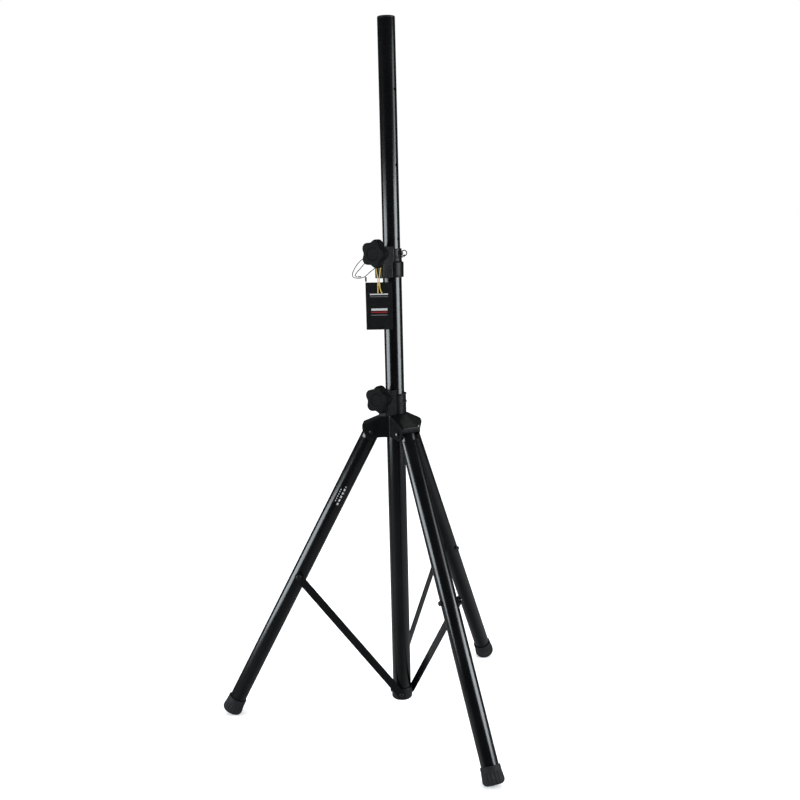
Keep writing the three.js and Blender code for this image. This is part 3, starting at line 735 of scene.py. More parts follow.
def add_card(middle):
    """Card with rounded corners and a punched hole, very slightly bowed."""
    half, corner, columns, rows = TAG_WIDTH / 2, 1.2 * MM, 26, 48
    outline = fillet([(-half, 0), (half, 0), (half, TAG_HEIGHT), (-half, TAG_HEIGHT)], corner, 5)
    plate = prism(outline, -0.35 * MM, 0.35 * MM)
    for count, length, direction in ((columns, TAG_WIDTH, (1, 0, 0)), (rows, TAG_HEIGHT, (0, 1, 0))):
        for index in range(1, count):
            at = Vector(direction) * (length * index / count) - Vector((half if direction[0] else 0, 0, 0))
            geometry = plate.verts[:] + plate.edges[:] + plate.faces[:]
            bmesh.ops.bisect_plane(plate, geom=geometry, plane_co=at, plane_no=direction)
    hole = round_tool(Vector((0, 4.5 * MM, -5 * MM)), Vector((0, 4.5 * MM, 5 * MM)), 2.2 * MM, 32)
    bm = combined(plate, cut=[hole])
    across, down = [], []
    for vert in bm.verts:
        x, d, thick = vert.co
        across.append(x)
        down.append(d)
        bow = 0.9 * MM * (1 - (x / half) ** 2) * math.sin(math.pi * d / TAG_HEIGHT)
        curl = 0.8 * MM * max(0, d / TAG_HEIGHT - 0.6) * (x / half)
        vert.co = (middle.x + x, middle.y + thick + bow * 0.6 + curl, TAG_TOP - d)
    finished(bm)
    piece("tag_card_print", bm, CARD, "tag", ["tag_card"], attributes={"across": across, "down": down})


add_lanyard()
add_tag()

# ------------------------------------------------------------------ pole


def add_pole():
    inner = TUBE_R - TUBE_WALL
    tube = [(inner, TUBE_BOTTOM), (TUBE_R, TUBE_BOTTOM), (TUBE_R, TUBE_TOP), (inner, TUBE_TOP)]
    piece("outer_tube_paint", revolve(fillet(tube, 0.4 * MM), 160), PAINT, "pole", ["outer_tube"])

    wall = TUBE_R + GAP
    cap = [
        (0, 0, 0), (CAP_R, 0, 5.5 * MM), (CAP_R, CAP_TOP - 3.2 * MM, 0.3 * MM),
        (CAP_R - 0.5 * MM, CAP_TOP - 2.6 * MM, 0.2 * MM), (CAP_R - 0.5 * MM, CAP_TOP - 2.2 * MM, 0.2 * MM),
        (CAP_R, CAP_TOP - 1.8 * MM, 0.2 * MM),
        (CAP_R, CAP_TOP, 0.5 * MM), (wall, CAP_TOP, 0.3 * MM), (wall, 4 * MM, 0), (0, 4 * MM, 0),
    ]
    piece("bottom_cap_moulding", revolve(fillet(cap, 0.4 * MM, 6, closed=False), 128), CAP_PLASTIC, "pole", ["bottom_cap"])

    inner = MAST_R - MAST_WALL
    mast = [(inner, MAST_BOTTOM), (MAST_R, MAST_BOTTOM), (MAST_R, MAST_TOP), (inner, MAST_TOP)]
    across = outward(PIN_AZIMUTH) * (MAST_R + 3 * MM)
    holes = []
    for z in PIN_HOLE_HEIGHTS:
        lift = Vector((0, 0, z))
        holes.append(round_tool(lift - across, lift + across, PIN_HOLE_R))
    bm = combined(revolve(fillet(mast, 0.4 * MM), 160), cut=holes)
    piece("mast_paint", bm, PAINT, "mast", ["mast"])

    seat = inner - GAP
    low = MAST_TOP - 20 * MM
    rim = MAST_TOP + GAP
    plug = [
        (0, low), (seat, low, 0.5 * MM), (seat, rim, 0.1 * MM), (MAST_R, rim, 0.2 * MM),
        (MAST_R, PLUG_TOP, 2.6 * MM), (MAST_R - 5 * MM, PLUG_TOP, 0.3 * MM), (MAST_R - 5.3 * MM, PLUG_TOP - 0.4 * MM, 0.2 * MM),
        (0, PLUG_TOP - 0.4 * MM),
    ]
    piece("mast_plug_moulding", revolve(fillet(plug, 0.3 * MM, 5, closed=False), 128), CAP_PLASTIC, "mast",
          ["mast_top_plug"])
    glide_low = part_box("mast_bottom_glide")[0].z
    glide_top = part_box("mast_bottom_glide")[1].z
    glide = [
        (0, glide_low), (MAST_R - 0.1 * MM, glide_low, 1 * MM), (MAST_R - 0.1 * MM, MAST_BOTTOM - GAP, 0.1 * MM),
        (seat, MAST_BOTTOM - GAP, 0.1 * MM), (seat, glide_top, 0.4 * MM), (0, glide_top),
    ]
    piece("mast_glide_moulding", revolve(fillet(glide, 0.3 * MM, 4, closed=False), 96), CAP_PLASTIC, "mast",
          ["mast_bottom_glide"])


# ------------------------------------------------------------------ collars, clamps and hub


def remeshed(voxel, smooth=4):
    def settings(obj):
        remesh = obj.modifiers.new("remesh", "REMESH")
        remesh.mode = "VOXEL"
        remesh.voxel_size = voxel
        soft = obj.modifiers.new("soft", "SMOOTH")
        soft.factor = 0.5
        soft.iterations = smooth
    return settings


def screw_boss(root_half, face_half, bottom, top):
    outline = fillet([
        (0, -root_half, 0), (root_half * 0.9, -root_half * 0.95, 2 * MM), (BOSS_FACE_R, -face_half, 3 * MM),
        (BOSS_FACE_R, face_half, 3 * MM), (root_half * 0.9, root_half * 0.95, 2 * MM), (0, root_half, 0),
    ], 2 * MM, 6)
    return prism(outline, bottom, top, facing(KNOB_AZIMUTH))


def screw_cutters(z, pad_face):
    along = outward(KNOB_AZIMUTH)
    lift = Vector((0, 0, z))
    start = along * 0.005 + lift
    bore = round_tool(start, along * (BOSS_FACE_R + 0.005) + lift, SCREW_R + GAP)
    pocket = round_tool(start, along * (pad_face + 3.75 * MM) + lift, 5.3 * MM)
    return [bore, pocket]


def add_upper_collar():
    ring_r, wide_r = 20.2 * MM, 23.3 * MM
    outer = fillet([
        (17.3 * MM, COLLAR_BOTTOM), (wide_r, COLLAR_BOTTOM, 0.6 * MM), (wide_r, COLLAR_BOTTOM + 2.2 * MM, 0.3 * MM),
        (wide_r - 0.35 * MM, COLLAR_BOTTOM + 2.6 * MM, 0.2 * MM), (wide_r - 0.35 * MM, COLLAR_BOTTOM + 3 * MM, 0.2 * MM),
        (wide_r, COLLAR_BOTTOM + 3.4 * MM, 0.3 * MM), (wide_r + 0.4 * MM, TUBE_TOP - 1.4 * MM, 0.8 * MM),
        (ring_r + 0.5 * MM, TUBE_TOP, 0.6 * MM), (ring_r, TUBE_TOP + 1.5 * MM, 0.8 * MM),
        (ring_r, TUBE_TOP + 7 * MM, 0.2 * MM), (ring_r - 0.45 * MM, TUBE_TOP + 7.4 * MM, 0.2 * MM),
        (ring_r - 0.45 * MM, TUBE_TOP + 7.9 * MM, 0.2 * MM), (ring_r, TUBE_TOP + 8.3 * MM, 0.2 * MM),
        (ring_r, TUBE_TOP + 10.4 * MM, 0.2 * MM), (ring_r - 0.45 * MM, TUBE_TOP + 10.8 * MM, 0.2 * MM),
        (ring_r - 0.45 * MM, TUBE_TOP + 11.3 * MM, 0.2 * MM), (ring_r, TUBE_TOP + 11.7 * MM, 0.2 * MM),
        (ring_r, COLLAR_TOP, 0.7 * MM), (17.3 * MM, COLLAR_TOP),
    ], 0.4 * MM, 3)
    boss_top = UPPER_KNOB_Z + 13 * MM
    mast_bore = revolve([(0, 0.891), (MAST_R + GAP, 0.891), (MAST_R + GAP, 0.965), (0, 0.965)], 128)
    tube_bore = revolve([(0, 0.891), (TUBE_R + GAP, 0.891), (TUBE_R + GAP, TUBE_TOP + GAP), (0, TUBE_TOP + GAP)], 128)
    pin = outward(PIN_AZIMUTH)
    lift = Vector((0, 0, PIN_Z))
    pin_hole = round_tool(pin * 0.01 + lift, pin * 0.026 + lift, 2.8 * MM)
    bm = combined(
        revolve(outer, 128),
        joined=[screw_boss(15 * MM, 10 * MM, COLLAR_BOTTOM, boss_top)],
        cut=[mast_bore, tube_bore, pin_hole, *screw_cutters(UPPER_KNOB_Z, 17.9 * MM)],
        settings=remeshed(0.45 * MM, 3),
    )
    piece("upper_collar_moulding", bm, CLAMP_PLASTIC, "pole", ["upper_collar"], sharp=0)
    add_rivet("upper_collar_rivet", 20.2 * MM, 84, 936 * MM, "pole")


def add_rivet(node, seat, azimuth, z, body):
    profile = fillet([
        (0, seat + GAP, 0), (2.2 * MM, seat + GAP, 0.1 * MM), (2.0 * MM, seat + 1.2 * MM, 0.6 * MM), (0, seat + 1.8 * MM, 3 * MM),
    ], 0.3 * MM, 5, closed=False)
    bm = revolve(profile, 40, facing(azimuth, z), along_x=True)
    piece(node + "_head", bm, BLACK_STEEL, body, [node])


def add_hub_collar():
    bottom = HUB_COLLAR_BOTTOM
    lip = HUB_COLLAR_R + 1.2 * MM
    outer = fillet([
        (17.4 * MM, bottom), (HUB_COLLAR_R, bottom, 0.5 * MM), (HUB_COLLAR_R, bottom + 21 * MM, 0.2 * MM),
        (HUB_COLLAR_R - 0.45 * MM, bottom + 21.4 * MM, 0.2 * MM), (HUB_COLLAR_R - 0.45 * MM, bottom + 22 * MM, 0.2 * MM),
        (HUB_COLLAR_R, bottom + 22.4 * MM, 0.2 * MM),
        (HUB_COLLAR_R, HUB_COLLAR_TOP - 2.4 * MM, 0.5 * MM), (lip, HUB_COLLAR_TOP - 2.1 * MM, 0.4 * MM),
        (lip, HUB_COLLAR_TOP, 0.7 * MM), (17.4 * MM, HUB_COLLAR_TOP),
    ], 0.4 * MM, 3)
    bore = revolve([(0, 0.61), (HUB_BORE_R, 0.61), (HUB_BORE_R, 0.68), (0, 0.68)], 128)
    bm = combined(
        revolve(outer, 128),
        joined=[screw_boss(15 * MM, 10 * MM, bottom, LOWER_KNOB_Z + 14.5 * MM)],
        cut=[bore, *screw_cutters(LOWER_KNOB_Z, 19.4 * MM)],
        settings=remeshed(0.45 * MM, 3),
    )
    piece("hub_collar_moulding", bm, CLAMP_PLASTIC, "hub", ["hub_collar"], sharp=0)
    add_rivet("hub_collar_rivet", HUB_COLLAR_R, 84, 643 * MM, "hub")


def lobed(angle):
    middle, swing = (KNOB_TIP_R + KNOB_VALLEY_R) / 2, (KNOB_TIP_R - KNOB_VALLEY_R) / 2
    wave = math.cos(5 * angle)
    return middle + swing * (wave + 0.18 * (1 - wave * wave))


def add_knob(prefix, z, turned_by):
    """Lobed knob: rounded rims, a shallow dish on the front with a pressed-in centre disc, and a blind bore."""
    front, back = KNOB_THICK, 0.0
    rim, sides = 3.6 * MM, 240
    rings = [(0, 11 * MM, 0.0), (SCREW_R + GAP, 11 * MM, 0.0), (SCREW_R + GAP, 0.0, 0.0), (12 * MM, back, 0.0)]
    rows = [(radius, radius, height) for radius, height, _ in rings]
    rows.append((None, 2.2 * MM, back))
    for step in range(1, 6):
        angle = rad(90 * step / 5)
        rows.append((None, 2.2 * MM * (1 - math.sin(angle)), 2.2 * MM * (1 - math.cos(angle))))
    for step in range(0, 8):
        angle = rad(90 * step / 7)
        rows.append((None, rim * (1 - math.cos(angle)), front - rim + rim * math.sin(angle)))
    rows += [(14.5 * MM, 0, front), (13.2 * MM, 0, front - 0.05 * MM), (12.6 * MM, 0, front - 0.5 * MM),
             (12.1 * MM, 0, front - 0.5 * MM), (11.6 * MM, 0, front - 0.05 * MM), (6 * MM, 0, front - 0.1 * MM),
             (0, 0, front - 0.15 * MM)]
    bm = bmesh.new()
    loops = []
    for radius, inset, height in rows:
        if radius is not None and radius < 1e-7:
            loops.append([bm.verts.new((height, 0, 0))])
            continue
        loop = []
        for index in range(sides):
            angle = 2 * math.pi * index / sides
            here = radius if radius is not None else lobed(angle) - inset
            spot = angle + rad(turned_by)
            loop.append(bm.verts.new((height, here * math.cos(spot), here * math.sin(spot))))
        loops.append(loop)
    for lower, upper in zip(loops, loops[1:]):
        join_rings(bm, lower, upper)
    place = facing(KNOB_AZIMUTH, z) @ Matrix.Translation((KNOB_BACK_R, 0, 0))
    piece(f"{prefix}_knob_grip", finished(bm, place), KNOB_PLASTIC, f"{prefix}_knob", [f"{prefix}_knob"])


def add_clamp(prefix, z, pad_face, turned_by=0.0):
    add_knob(prefix, z, turned_by)
    pad_back = pad_face + 2.2 * MM
    pad = fillet([(0, pad_face), (5 * MM, pad_face, 0.5 * MM), (5 * MM, pad_back, 0.2 * MM), (0, pad_back)], 0.3 * MM, 4, False)
    piece(f"{prefix}_pad_disc", revolve(pad, 48, facing(KNOB_AZIMUTH, z), True), BRIGHT_STEEL, f"{prefix}_screw",
          [f"{prefix}_clamp_pad"])
    start, end = pad_back + GAP, KNOB_BACK_R + 10.7 * MM
    profile = [(0, start), (SCREW_R * 0.82, start)]
    pitch, at = 1.25 * MM, start
    while at + pitch < end:
        profile += [(SCREW_R * 0.84, at + 0.1 * pitch), (SCREW_R, at + 0.42 * pitch), (SCREW_R, at + 0.58 * pitch),
                    (SCREW_R * 0.84, at + 0.9 * pitch)]
        at += pitch
    profile += [(SCREW_R * 0.82, end), (0, end)]
    piece(f"{prefix}_screw_thread", revolve(profile, 40, facing(KNOB_AZIMUTH, z), True), BRIGHT_STEEL, f"{prefix}_screw",
          [f"{prefix}_clamp_screw"], sharp=50)


def arc(centre, radius, start, end, steps):
    out = []
    for step in range(steps + 1):
        angle = rad(start + (end - start) * step / steps)
        out.append((centre[0] + radius * math.cos(angle), centre[1] + radius * math.sin(angle)))
    return out


def lug_outline():
    slope = math.tan(rad(HUB_ROOF_SLOPE))
    nose_x = LUG_REACH - LUG_NOSE_R
    nose_z = HUB_TOP - (nose_x - HUB_COLLAR_R) * slope - LUG_NOSE_R + 1 * MM
    cheek = 15 * MM
    outline = [(12 * MM, LEG_PIVOT_Z - cheek + 3 * MM), (LEG_PIVOT_R - 20 * MM, LEG_PIVOT_Z - cheek + 3 * MM)]
    outline += arc((LEG_PIVOT_R, LEG_PIVOT_Z), cheek, -120, -20, 18)
    outline += [(LUG_REACH, LEG_PIVOT_Z + 6 * MM)]
    outline += arc((nose_x, nose_z), LUG_NOSE_R, 0, 90 - HUB_ROOF_SLOPE, 12)
    outline += [(HUB_COLLAR_R, HUB_TOP), (12 * MM, HUB_TOP)]
    return outline


def pocket_outline():
    """Inner half of the slot a leg folds into, with the rounded room over its head."""
    radius, spread = LEG_R + 0.6 * MM, rad(LEG_SPREAD + 0.6)
    reach = 90 * MM
    outline = [(LEG_PIVOT_R + math.sin(spread) * reach, LEG_PIVOT_Z - math.cos(spread) * reach), (LEG_PIVOT_R, LEG_PIVOT_Z)]
    outline += arc((LEG_PIVOT_R, LEG_PIVOT_Z), radius, -5, 180, 30)
    outline += [(LEG_PIVOT_R - radius, LEG_PIVOT_Z - reach)]
    return outline


def leg_arch(azimuth):
    """Round cutter along an opened leg: it leaves an arched rim over the leg in the lug's nose."""
    turn, spread = facing(azimuth), rad(LEG_SPREAD + 0.6)
    pivot = Vector((LEG_PIVOT_R, 0, LEG_PIVOT_Z))
    down = Vector((math.sin(spread), 0, -math.cos(spread)))
    return round_tool(turn @ (pivot - down * 4 * MM), turn @ (pivot + down * 90 * MM), LEG_R + 0.5 * MM, 64)


def round_backed_lug(azimuth):
    """One lug of the hub, its roof rounded over along both long edges."""
    slope, half = rad(HUB_ROOF_SLOPE), LUG_HALF_WIDTH + 0.02 * MM
    along = Vector((math.cos(slope), 0, -math.sin(slope)))
    top = Vector((math.sin(slope), 0, math.cos(slope)))
    place = Matrix((Vector((0, 1, 0)), top, along)).transposed().to_4x4()
    place.translation = Vector((HUB_COLLAR_R, 0, HUB_TOP + 0.02 * MM))
    outline = fillet([(-half, -80 * MM, 0), (half, -80 * MM, 0), (half, 0), (-half, 0)], 8 * MM, 10)
    bar = prism(outline, -45 * MM, 70 * MM, facing(azimuth) @ place)
    return intersected(across_lug(lug_outline(), LUG_HALF_WIDTH, azimuth), bar)


def across_lug(outline, half, azimuth):
    upright = Matrix.Rotation(rad(90), 4, "X")
    return prism(outline, -half, half, facing(azimuth) @ upright)


def add_hub():
    azimuths = list(LEGS.values())
    core = revolve(fillet([
        (0, HUB_BOTTOM), (24.5 * MM, LEG_PIVOT_Z - 12 * MM, 1 * MM), (24.5 * MM, HUB_TOP, 1 * MM), (0, HUB_TOP),
    ], 0.4 * MM, 4, False), 96)
    lugs = [round_backed_lug(azimuth) for azimuth in azimuths]
    pockets = [across_lug(pocket_outline(), LEG_R + 0.4 * MM, azimuth) for azimuth in azimuths]
    pockets += [leg_arch(azimuth) for azimuth in azimuths]
    bore = revolve([(0, 0.5), (HUB_BORE_R, 0.5), (HUB_BORE_R, 0.7), (0, 0.7)], 128)
    holes = []
    for azimuth in azimuths:
        turn = facing(azimuth)
        start = turn @ Vector((LEG_PIVOT_R, -0.03, LEG_PIVOT_Z))
        end = turn @ Vector((LEG_PIVOT_R, 0.03, LEG_PIVOT_Z))
        holes.append(round_tool(start, end, 3.3 * MM))
    bm = combined(core, joined=lugs, cut=[bore, *pockets, *holes], settings=remeshed(0.7 * MM, 9))
    piece("hub_moulding", bm, CLAMP_PLASTIC, "hub", ["hub"], sharp=0)


# ------------------------------------------------------------------ legs


def cross_bolt(start, seat, shank, head, place):
    """Bolt along the local Y axis, with a domed head that has a hexagon socket."""
    top = seat + 3 * MM
    profile = fillet([
        (0, start), (shank, start, 0.4 * MM), (shank, seat, 0.1 * MM), (head, seat, 0.2 * MM),
        (head - 0.4 * MM, seat + 1.9 * MM, 1.2 * MM), (head * 0.5, top, 1.2 * MM), (0, top),
    ], 0.3 * MM, 5, False)
    along_y = Matrix.Rotation(rad(-90), 4, "X")
    socket = revolve([(0, top - 1.4 * MM), (head * 0.34, top - 1.4 * MM), (head * 0.34, top + 2 * MM), (0, top + 2 * MM)], 6,
                     place @ along_y)
    return combined(revolve(profile, 48, place @ along_y), cut=[socket])


def cross_nut(start, end, flat, bore, place):
    profile = fillet([
        (bore, start, 0.1 * MM), (flat, start, 0.4 * MM), (flat, end, 0.4 * MM), (bore, end, 0.1 * MM),
    ], 0.3 * MM, 3)
    bm = bmesh.new()
    rings = []
    sides = 60
    for radius, height in profile:
        ring = []
        for index in range(sides):
            angle = 2 * math.pi * index / sides
            sector = (math.degrees(angle) % 60) - 30
            hexagon = math.cos(rad(30)) / math.cos(rad(sector))
            weight = min(1.0, max(0.0, (radius - bore) / (flat - bore)))
            here = radius * (1 + (hexagon - 1) * weight)
            ring.append(bm.verts.new((here * math.cos(angle), here * math.sin(angle), height)))
        rings.append(ring)
    rings.append(rings[0])
    for lower, upper in zip(rings, rings[1:]):
        join_rings(bm, lower, upper)
    return finished(bm, place @ Matrix.Rotation(rad(-90), 4, "X"))


def foot_profile_radius(height, angle):
    """How deep the flutes cut the rubber foot at a height above its sole: none on the rim band."""
    flute = 1.3 * MM * (0.5 + 0.5 * math.cos(20 * angle)) ** 0.7
    reach = min(1.0, max(0.0, (height - 3.5 * MM) / (3 * MM))) * min(1.0, max(0.0, (24.5 * MM - height) / (2 * MM)))
    return flute * reach


def add_foot(side, place):
    end = -LEG_TO_FOOT_END
    rim = end + 35 * MM
    foot_r, rim_r, rounding = 21.6 * MM, 19.8 * MM, 9 * MM
    seat = LEG_R + GAP
    profile = [(0, end), (6 * MM, end)]
    profile += [(r, z) for r, z in arc((foot_r - rounding, end + rounding), rounding, -90, 0, 10)]
    flared = rim - 9 * MM - (end + rounding)
    for step in range(1, 20):
        share = step / 20
        profile.append((foot_r + (rim_r - foot_r) * share, end + rounding + flared * share))
    profile += fillet([
        (rim_r, rim - 9 * MM, 0), (rim_r, rim, 0.9 * MM), (seat, rim, 0.3 * MM),
        (seat, end + 12 * MM, 0), (0, end + 12 * MM, 0),
    ], 0.3 * MM, 4, False)
    bm = bmesh.new()
    rings, sides = [], 176
    for radius, height in profile:
        if radius < 1e-7:
            rings.append([bm.verts.new((0, 0, height))])
            continue
        ring = []
        for index in range(sides):
            angle = 2 * math.pi * index / sides
            here = radius
            if radius > seat:
                here -= foot_profile_radius(height - end, angle)
            ring.append(bm.verts.new((here * math.cos(angle), here * math.sin(angle), height)))
        rings.append(ring)
    for lower, upper in zip(rings, rings[1:]):
        join_rings(bm, lower, upper)
    bm = finished(bm, place)
    geometry = bm.verts[:] + bm.edges[:] + bm.faces[:]
    cut = bmesh.ops.bisect_plane(bm, geom=geometry, plane_co=(0, 0, FLOOR_Z), plane_no=(0, 0, -1), clear_outer=True)
    edges = [e for e in cut["geom_cut"] if isinstance(e, bmesh.types.BMEdge)]
    bmesh.ops.contextual_create(bm, geom=edges)
    bmesh.ops.recalc_face_normals(bm, faces=bm.faces)
    piece(f"foot_{side}_rubber", bm, FOOT_RUBBER, f"leg_{side}", [f"foot_cap_{side}"])


def add_leg(side, azimuth):
    body = f"leg_{side}"
    plane = facing(azimuth)
    leg = plane @ Matrix.Translation((LEG_PIVOT_R, 0, LEG_PIVOT_Z)) @ Matrix.Rotation(rad(-LEG_SPREAD), 4, "Y")
    inner = LEG_R - LEG_WALL
    top, low = -19 * MM, -LEG_TO_FOOT_END + 12.3 * MM
    rows = [(inner, low), (LEG_R, low, 0.3 * MM), (LEG_R, top, 0.4 * MM), (inner, top, 0.3 * MM)]
    tube = revolve(fillet(rows, 0.3 * MM), 128)
    lower = Vector((0, -0.04, -LEG_TO_BRACE))
    tube = combined(tube, cut=[round_tool(lower, lower + Vector((0, 0.08, 0)), 3.3 * MM)])
    along = [-v.co.z for v in tube.verts]
    around = [math.atan2(v.co.x, v.co.y) * LEG_R for v in tube.verts]
    bmesh.ops.transform(tube, matrix=leg, verts=tube.verts)
    marked = side == "left"
    piece(f"leg_{side}_paint", tube, PAINT_MARKED if marked else PAINT, body, [f"leg_tube_{side}"],
          attributes={"along": along, "around": around} if marked else None)

    stem = inner - GAP
    insert = revolve(fillet([
        (0, -60 * MM), (stem, -60 * MM, 1 * MM), (stem, top + GAP, 0.1 * MM), (LEG_R, top + GAP, 0.5 * MM), (LEG_R, 0.04, 0), (0, 0.04),
    ], 0.3 * MM, 4, False), 96)
    crown = revolve([(0, -0.03), (LEG_R, -0.03), (LEG_R, 0.03), (0, 0.03)], 96, Matrix.Rotation(rad(90), 4, "X"))
    square = [(-LEG_R, -0.08), (LEG_R, -0.08), (LEG_R, 0), (-LEG_R, 0)]
    block = prism(square, -0.03, 0.03, Matrix.Rotation(rad(90), 4, "X"))
    envelope = combined(crown, joined=[block])
    head = intersected(insert, envelope)
    pivot_hole = round_tool(Vector((0, -0.04, 0)), Vector((0, 0.04, 0)), 3.3 * MM)
    head = combined(head, cut=[pivot_hole])
    bmesh.ops.transform(head, matrix=leg, verts=head.verts)
    piece(f"leg_{side}_insert", head, PAINT, body, [f"leg_insert_{side}"], sharp=30)
    add_foot(side, leg)

    face = LUG_HALF_WIDTH + GAP
    bolt = cross_bolt(-face - 3.2 * MM, face, 3 * MM, 4.6 * MM, leg)
    piece(f"pivot_{side}_bolt", bolt, BLACK_STEEL, body, [f"pivot_bolt_{side}"])
    nut = cross_nut(-face - 3 * MM, -face, 5 * MM, 3.3 * MM, leg)
    piece(f"pivot_{side}_nut", nut, BLACK_STEEL, body, [f"pivot_nut_{side}"])
    tip = fillet([(0, face + 3.2 * MM), (2.7 * MM, face + 3.2 * MM, 0.1 * MM), (2.4 * MM, face + 3.9 * MM, 0.5 * MM),
                  (0, face + 4.3 * MM)], 0.2 * MM, 5, False)
    tip = revolve(tip, 40, leg @ Matrix.Rotation(rad(90), 4, "X"))
    piece(f"pivot_{side}_tip", tip, BRIGHT_STEEL, body)

    lower = leg @ Matrix.Translation((0, 0, -LEG_TO_BRACE))
    outer = BRACE_OFFSET + BRACE_THICK
    bolt = cross_bolt(-LEG_R - 5.4 * MM, outer + GAP, 3 * MM, 5.6 * MM, lower)
    piece(f"brace_{side}_bolt", bolt, BLACK_STEEL, body, [f"brace_bolt_{side}"])
    nut = cross_nut(-LEG_R - 5 * MM, -LEG_R - GAP, 5.4 * MM, 3.3 * MM, lower)
    piece(f"brace_{side}_nut", nut, BLACK_STEEL, body, [f"brace_nut_{side}"])
    spacer = fillet([(3.3 * MM, LEG_R + GAP), (6 * MM, LEG_R + GAP), (6 * MM, BRACE_OFFSET - GAP), (3.3 * MM, BRACE_OFFSET - GAP)],
                    0.3 * MM, 3)
    piece(f"brace_{side}_spacer", revolve(spacer, 48, lower @ Matrix.Rotation(rad(-90), 4, "X")), CLAMP_PLASTIC, body,
          [f"brace_spacer_{side}"])
    add_brace(side, plane)


def intersected(first, second):
    target, helper = scratch(first), scratch(second)
    helper.hide_render = True
    modifier = target.modifiers.new("cut", "BOOLEAN")
    modifier.operation = "INTERSECT"
    modifier.solver = "EXACT"
    modifier.object = helper
    mesh = evaluated(target)
    bm = bmesh.new()
    bm.from_mesh(mesh)
    bpy.data.meshes.remove(mesh)
    drop(target, helper)
    return bm


def add_brace(side, plane):
    spread = rad(LEG_SPREAD)
    top_r = LEG_PIVOT_R + LEG_TO_BRACE * math.sin(spread)
    top_z = LEG_PIVOT_Z - LEG_TO_BRACE * math.cos(spread)
    length = math.hypot(top_r, top_z - BRACE_PIVOT_Z)
    lean = math.atan2(top_r, top_z - BRACE_PIVOT_Z)
    place = plane @ Matrix.Translation((top_r, 0, top_z)) @ Matrix.Rotation(lean, 4, "Y")
    half = BRACE_WIDTH / 2
    outline = arc((0, 0), half, 0, 180, 20) + arc((0, -length), half, 180, 360, 20)
    flat = Matrix.Translation((0, BRACE_OFFSET + BRACE_THICK, 0)) @ Matrix.Rotation(rad(90), 4, "X")
    bar = prism(outline, 0, BRACE_THICK, edge=0.7 * MM, steps=3)
    holes = [round_tool(Vector((0, y, -0.01)), Vector((0, y, 0.01)), 3.3 * MM) for y in (0, -length)]
    bm = combined(bar, cut=holes)
    bmesh.ops.transform(bm, matrix=place @ flat, verts=bm.verts)
    piece(f"brace_{side}_bar", bm, PAINT, f"brace_{side}", [f"brace_{side}"], sharp=30)
    screw = cross_bolt(BRACE_OFFSET, BRACE_OFFSET + BRACE_THICK + GAP, 3 * MM, 5 * MM,
                       place @ Matrix.Translation((0, 0, -length)))
    piece(f"brace_{side}_screw_head", screw, BLACK_STEEL, f"brace_{side}", [f"brace_screw_{side}"])


# ------------------------------------------------------------------ safety pin


def add_safety_pin():
    ring_r = 20.2 * MM
    eye = outward(PIN_AZIMUTH) * PIN_EYE_R + Vector((0, 0, PIN_Z))
    shank = fillet([
        (0, MAST_R + 0.9 * MM), (2.5 * MM, MAST_R + 0.9 * MM, 0.5 * MM), (2.5 * MM, ring_r + GAP, 0.1 * MM),
        (3.4 * MM, ring_r + GAP, 0.4 * MM), (3.4 * MM, PIN_EYE_R - 2.2 * MM, 0.5 * MM), (0, PIN_EYE_R - 2.2 * MM),
    ], 0.3 * MM, 4, False)
    lug = revolve(fillet([(0, -1.3 * MM), (3.6 * MM, -1.3 * MM, 0.4 * MM), (3.6 * MM, 1.3 * MM, 0.4 * MM), (0, 1.3 * MM)], 0.3 * MM,
                         4, False), 48, Matrix.Translation(eye) @ Matrix.Rotation(rad(90), 4, "X"))
    hole = round_tool(eye - Vector((0, 5 * MM, 0)), eye + Vector((0, 5 * MM, 0)), 1.7 * MM)
    bm = combined(revolve(shank, 48, facing(PIN_AZIMUTH, PIN_Z), True), joined=[lug], cut=[hole])
    piece("safety_pin_shank", bm, BLACK_STEEL, "safety_pin", ["safety_pin"])

    bm = bmesh.new()
    rings = []
    for index in range(72):
        turn = 2 * math.pi * index / 72
        ring = []
        for side in range(16):
            angle = 2 * math.pi * side / 16
            reach = RING_R + RING_WIRE_R * math.cos(angle)
            ring.append(bm.verts.new((eye.x + RING_R + reach * math.cos(turn), eye.y + RING_WIRE_R * math.sin(angle),
                                      eye.z + reach * math.sin(turn))))
        rings.append(ring)
    for index in range(72):
        join_rings(bm, rings[index], rings[(index + 1) % 72])
    piece("pin_pull_ring", finished(bm), BLACK_STEEL, "safety_pin", ["pin_ring"])


add_pole()
add_upper_collar()
add_hub()
add_hub_collar()
add_clamp("upper", UPPER_KNOB_Z, 17.9 * MM)
add_clamp("lower", LOWER_KNOB_Z, 19.4 * MM, turned_by=7)
for leg_side, leg_azimuth in LEGS.items():
    add_leg(leg_side, leg_azimuth)
add_safety_pin()

# ------------------------------------------------------------------ floor and light


def add_floor():
    material = Nodes("floor_paper", (0.9, 0.9, 0.9), 0.9, Specular_IOR_Level=0.1)
    material.colour(material.mixed(material.remap(material.noise(3, 2.0), 0.3, 0.7, 0, 1), (0.90, 0.90, 0.90), (0.92, 0.92, 0.92)))
    bm = bmesh.new()
    size = 30
    material.shader.inputs["Emission Color"].default_value = (1, 1, 1, 1)
    material.shader.inputs["Emission Strength"].default_value = 0.16
    corners = [bm.verts.new((x * size, y * size, FLOOR_Z)) for x, y in ((-1, -1), (1, -1), (1, 1), (-1, 1))]
    bm.faces.new(corners)
    mesh = bpy.data.meshes.new("floor")
    bm.to_mesh(mesh)
    bm.free()
    mesh.materials.append(material.material)
    floor = bpy.data.objects.new("floor", mesh)
    floor.visible_glossy = False
    bpy.context.scene.collection.objects.link(floor)


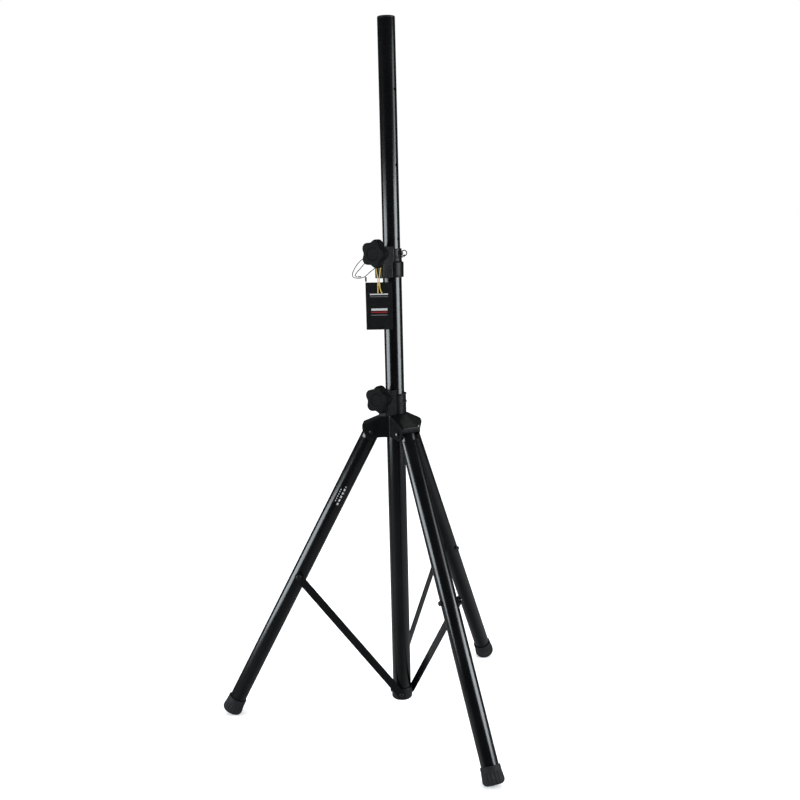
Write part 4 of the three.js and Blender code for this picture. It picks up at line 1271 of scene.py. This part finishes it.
def add_softbox(name, azimuth, distance, height, width, tall, power, colour=(1, 1, 1), tilt_at=0.7):
    data = bpy.data.lights.new(name, "AREA")
    data.shape = "RECTANGLE"
    data.size, data.size_y = width, tall
    data.energy = power
    data.color = colour
    light = bpy.data.objects.new(name, data)
    place = outward(azimuth) * distance + Vector((0, 0, height))
    light.location = place
    light.rotation_mode = "QUATERNION"
    light.rotation_quaternion = (Vector((0, 0, tilt_at)) - place).to_track_quat("-Z", "Y")
    bpy.context.scene.collection.objects.link(light)


def room_brightness(tree):
    """What shiny surfaces see of the room: dark above, brighter downward and most of all down at the sides."""
    def math_node(operation, first, second):
        node = tree.nodes.new("ShaderNodeMath")
        node.operation = operation
        for socket, value in enumerate((first, second)):
            if isinstance(value, float):
                node.inputs[socket].default_value = value
            else:
                tree.links.new(value, node.inputs[socket])
        return node.outputs[0]

    direction = tree.nodes.new("ShaderNodeTexCoord").outputs["Generated"]
    split = tree.nodes.new("ShaderNodeSeparateXYZ")
    tree.links.new(direction, split.inputs[0])
    down = tree.nodes.new("ShaderNodeMapRange")
    down.interpolation_type = "SMOOTHSTEP"
    tree.links.new(split.outputs["Z"], down.inputs["Value"])
    for socket, number in (("From Min", -0.08), ("From Max", -0.4), ("To Min", 0.0), ("To Max", 1.0)):
        down.inputs[socket].default_value = number
    sideways = math_node("MULTIPLY", math_node("MULTIPLY", split.outputs["X"], split.outputs["X"]), 0.5)
    low = math_node("MULTIPLY", down.outputs[0], math_node("ADD", sideways, 0.14))
    return math_node("ADD", low, 0.045)


def add_lighting():
    world = bpy.data.worlds.new("studio")
    world.use_nodes = True
    bpy.context.scene.world = world
    tree = world.node_tree
    tree.nodes.clear()
    output = tree.nodes.new("ShaderNodeOutputWorld")
    open_sky = tree.nodes.new("ShaderNodeBackground")
    open_sky.inputs[0].default_value = (1, 1, 1, 1)
    open_sky.inputs[1].default_value = 1.0
    dim_room = tree.nodes.new("ShaderNodeBackground")
    dim_room.inputs[0].default_value = (0.94, 0.97, 1, 1)
    tree.links.new(room_brightness(tree), dim_room.inputs[1])
    mix = tree.nodes.new("ShaderNodeMixShader")
    path = tree.nodes.new("ShaderNodeLightPath")
    tree.links.new(path.outputs["Is Glossy Ray"], mix.inputs[0])
    tree.links.new(open_sky.outputs[0], mix.inputs[1])
    tree.links.new(dim_room.outputs[0], mix.inputs[2])
    tree.links.new(mix.outputs[0], output.inputs[0])
    add_softbox("left_box", -75, 2.6, 0.7, 2.1, 1.0, 72, (0.86, 0.94, 1.0))
    add_softbox("right_box", 72, 2.6, 0.84, 1.8, 1.0, 70, (0.9, 0.96, 1.0))
    add_softbox("right_box_above", 86, 2.6, 1.66, 1.2, 0.8, 11, (0.9, 0.96, 1.0))
    add_softbox("overhead", 180, 0.6, 3.2, 3.0, 3.0, 30, tilt_at=0.2)


add_floor()
add_lighting()
bpy.context.scene.view_settings.view_transform = "Standard"
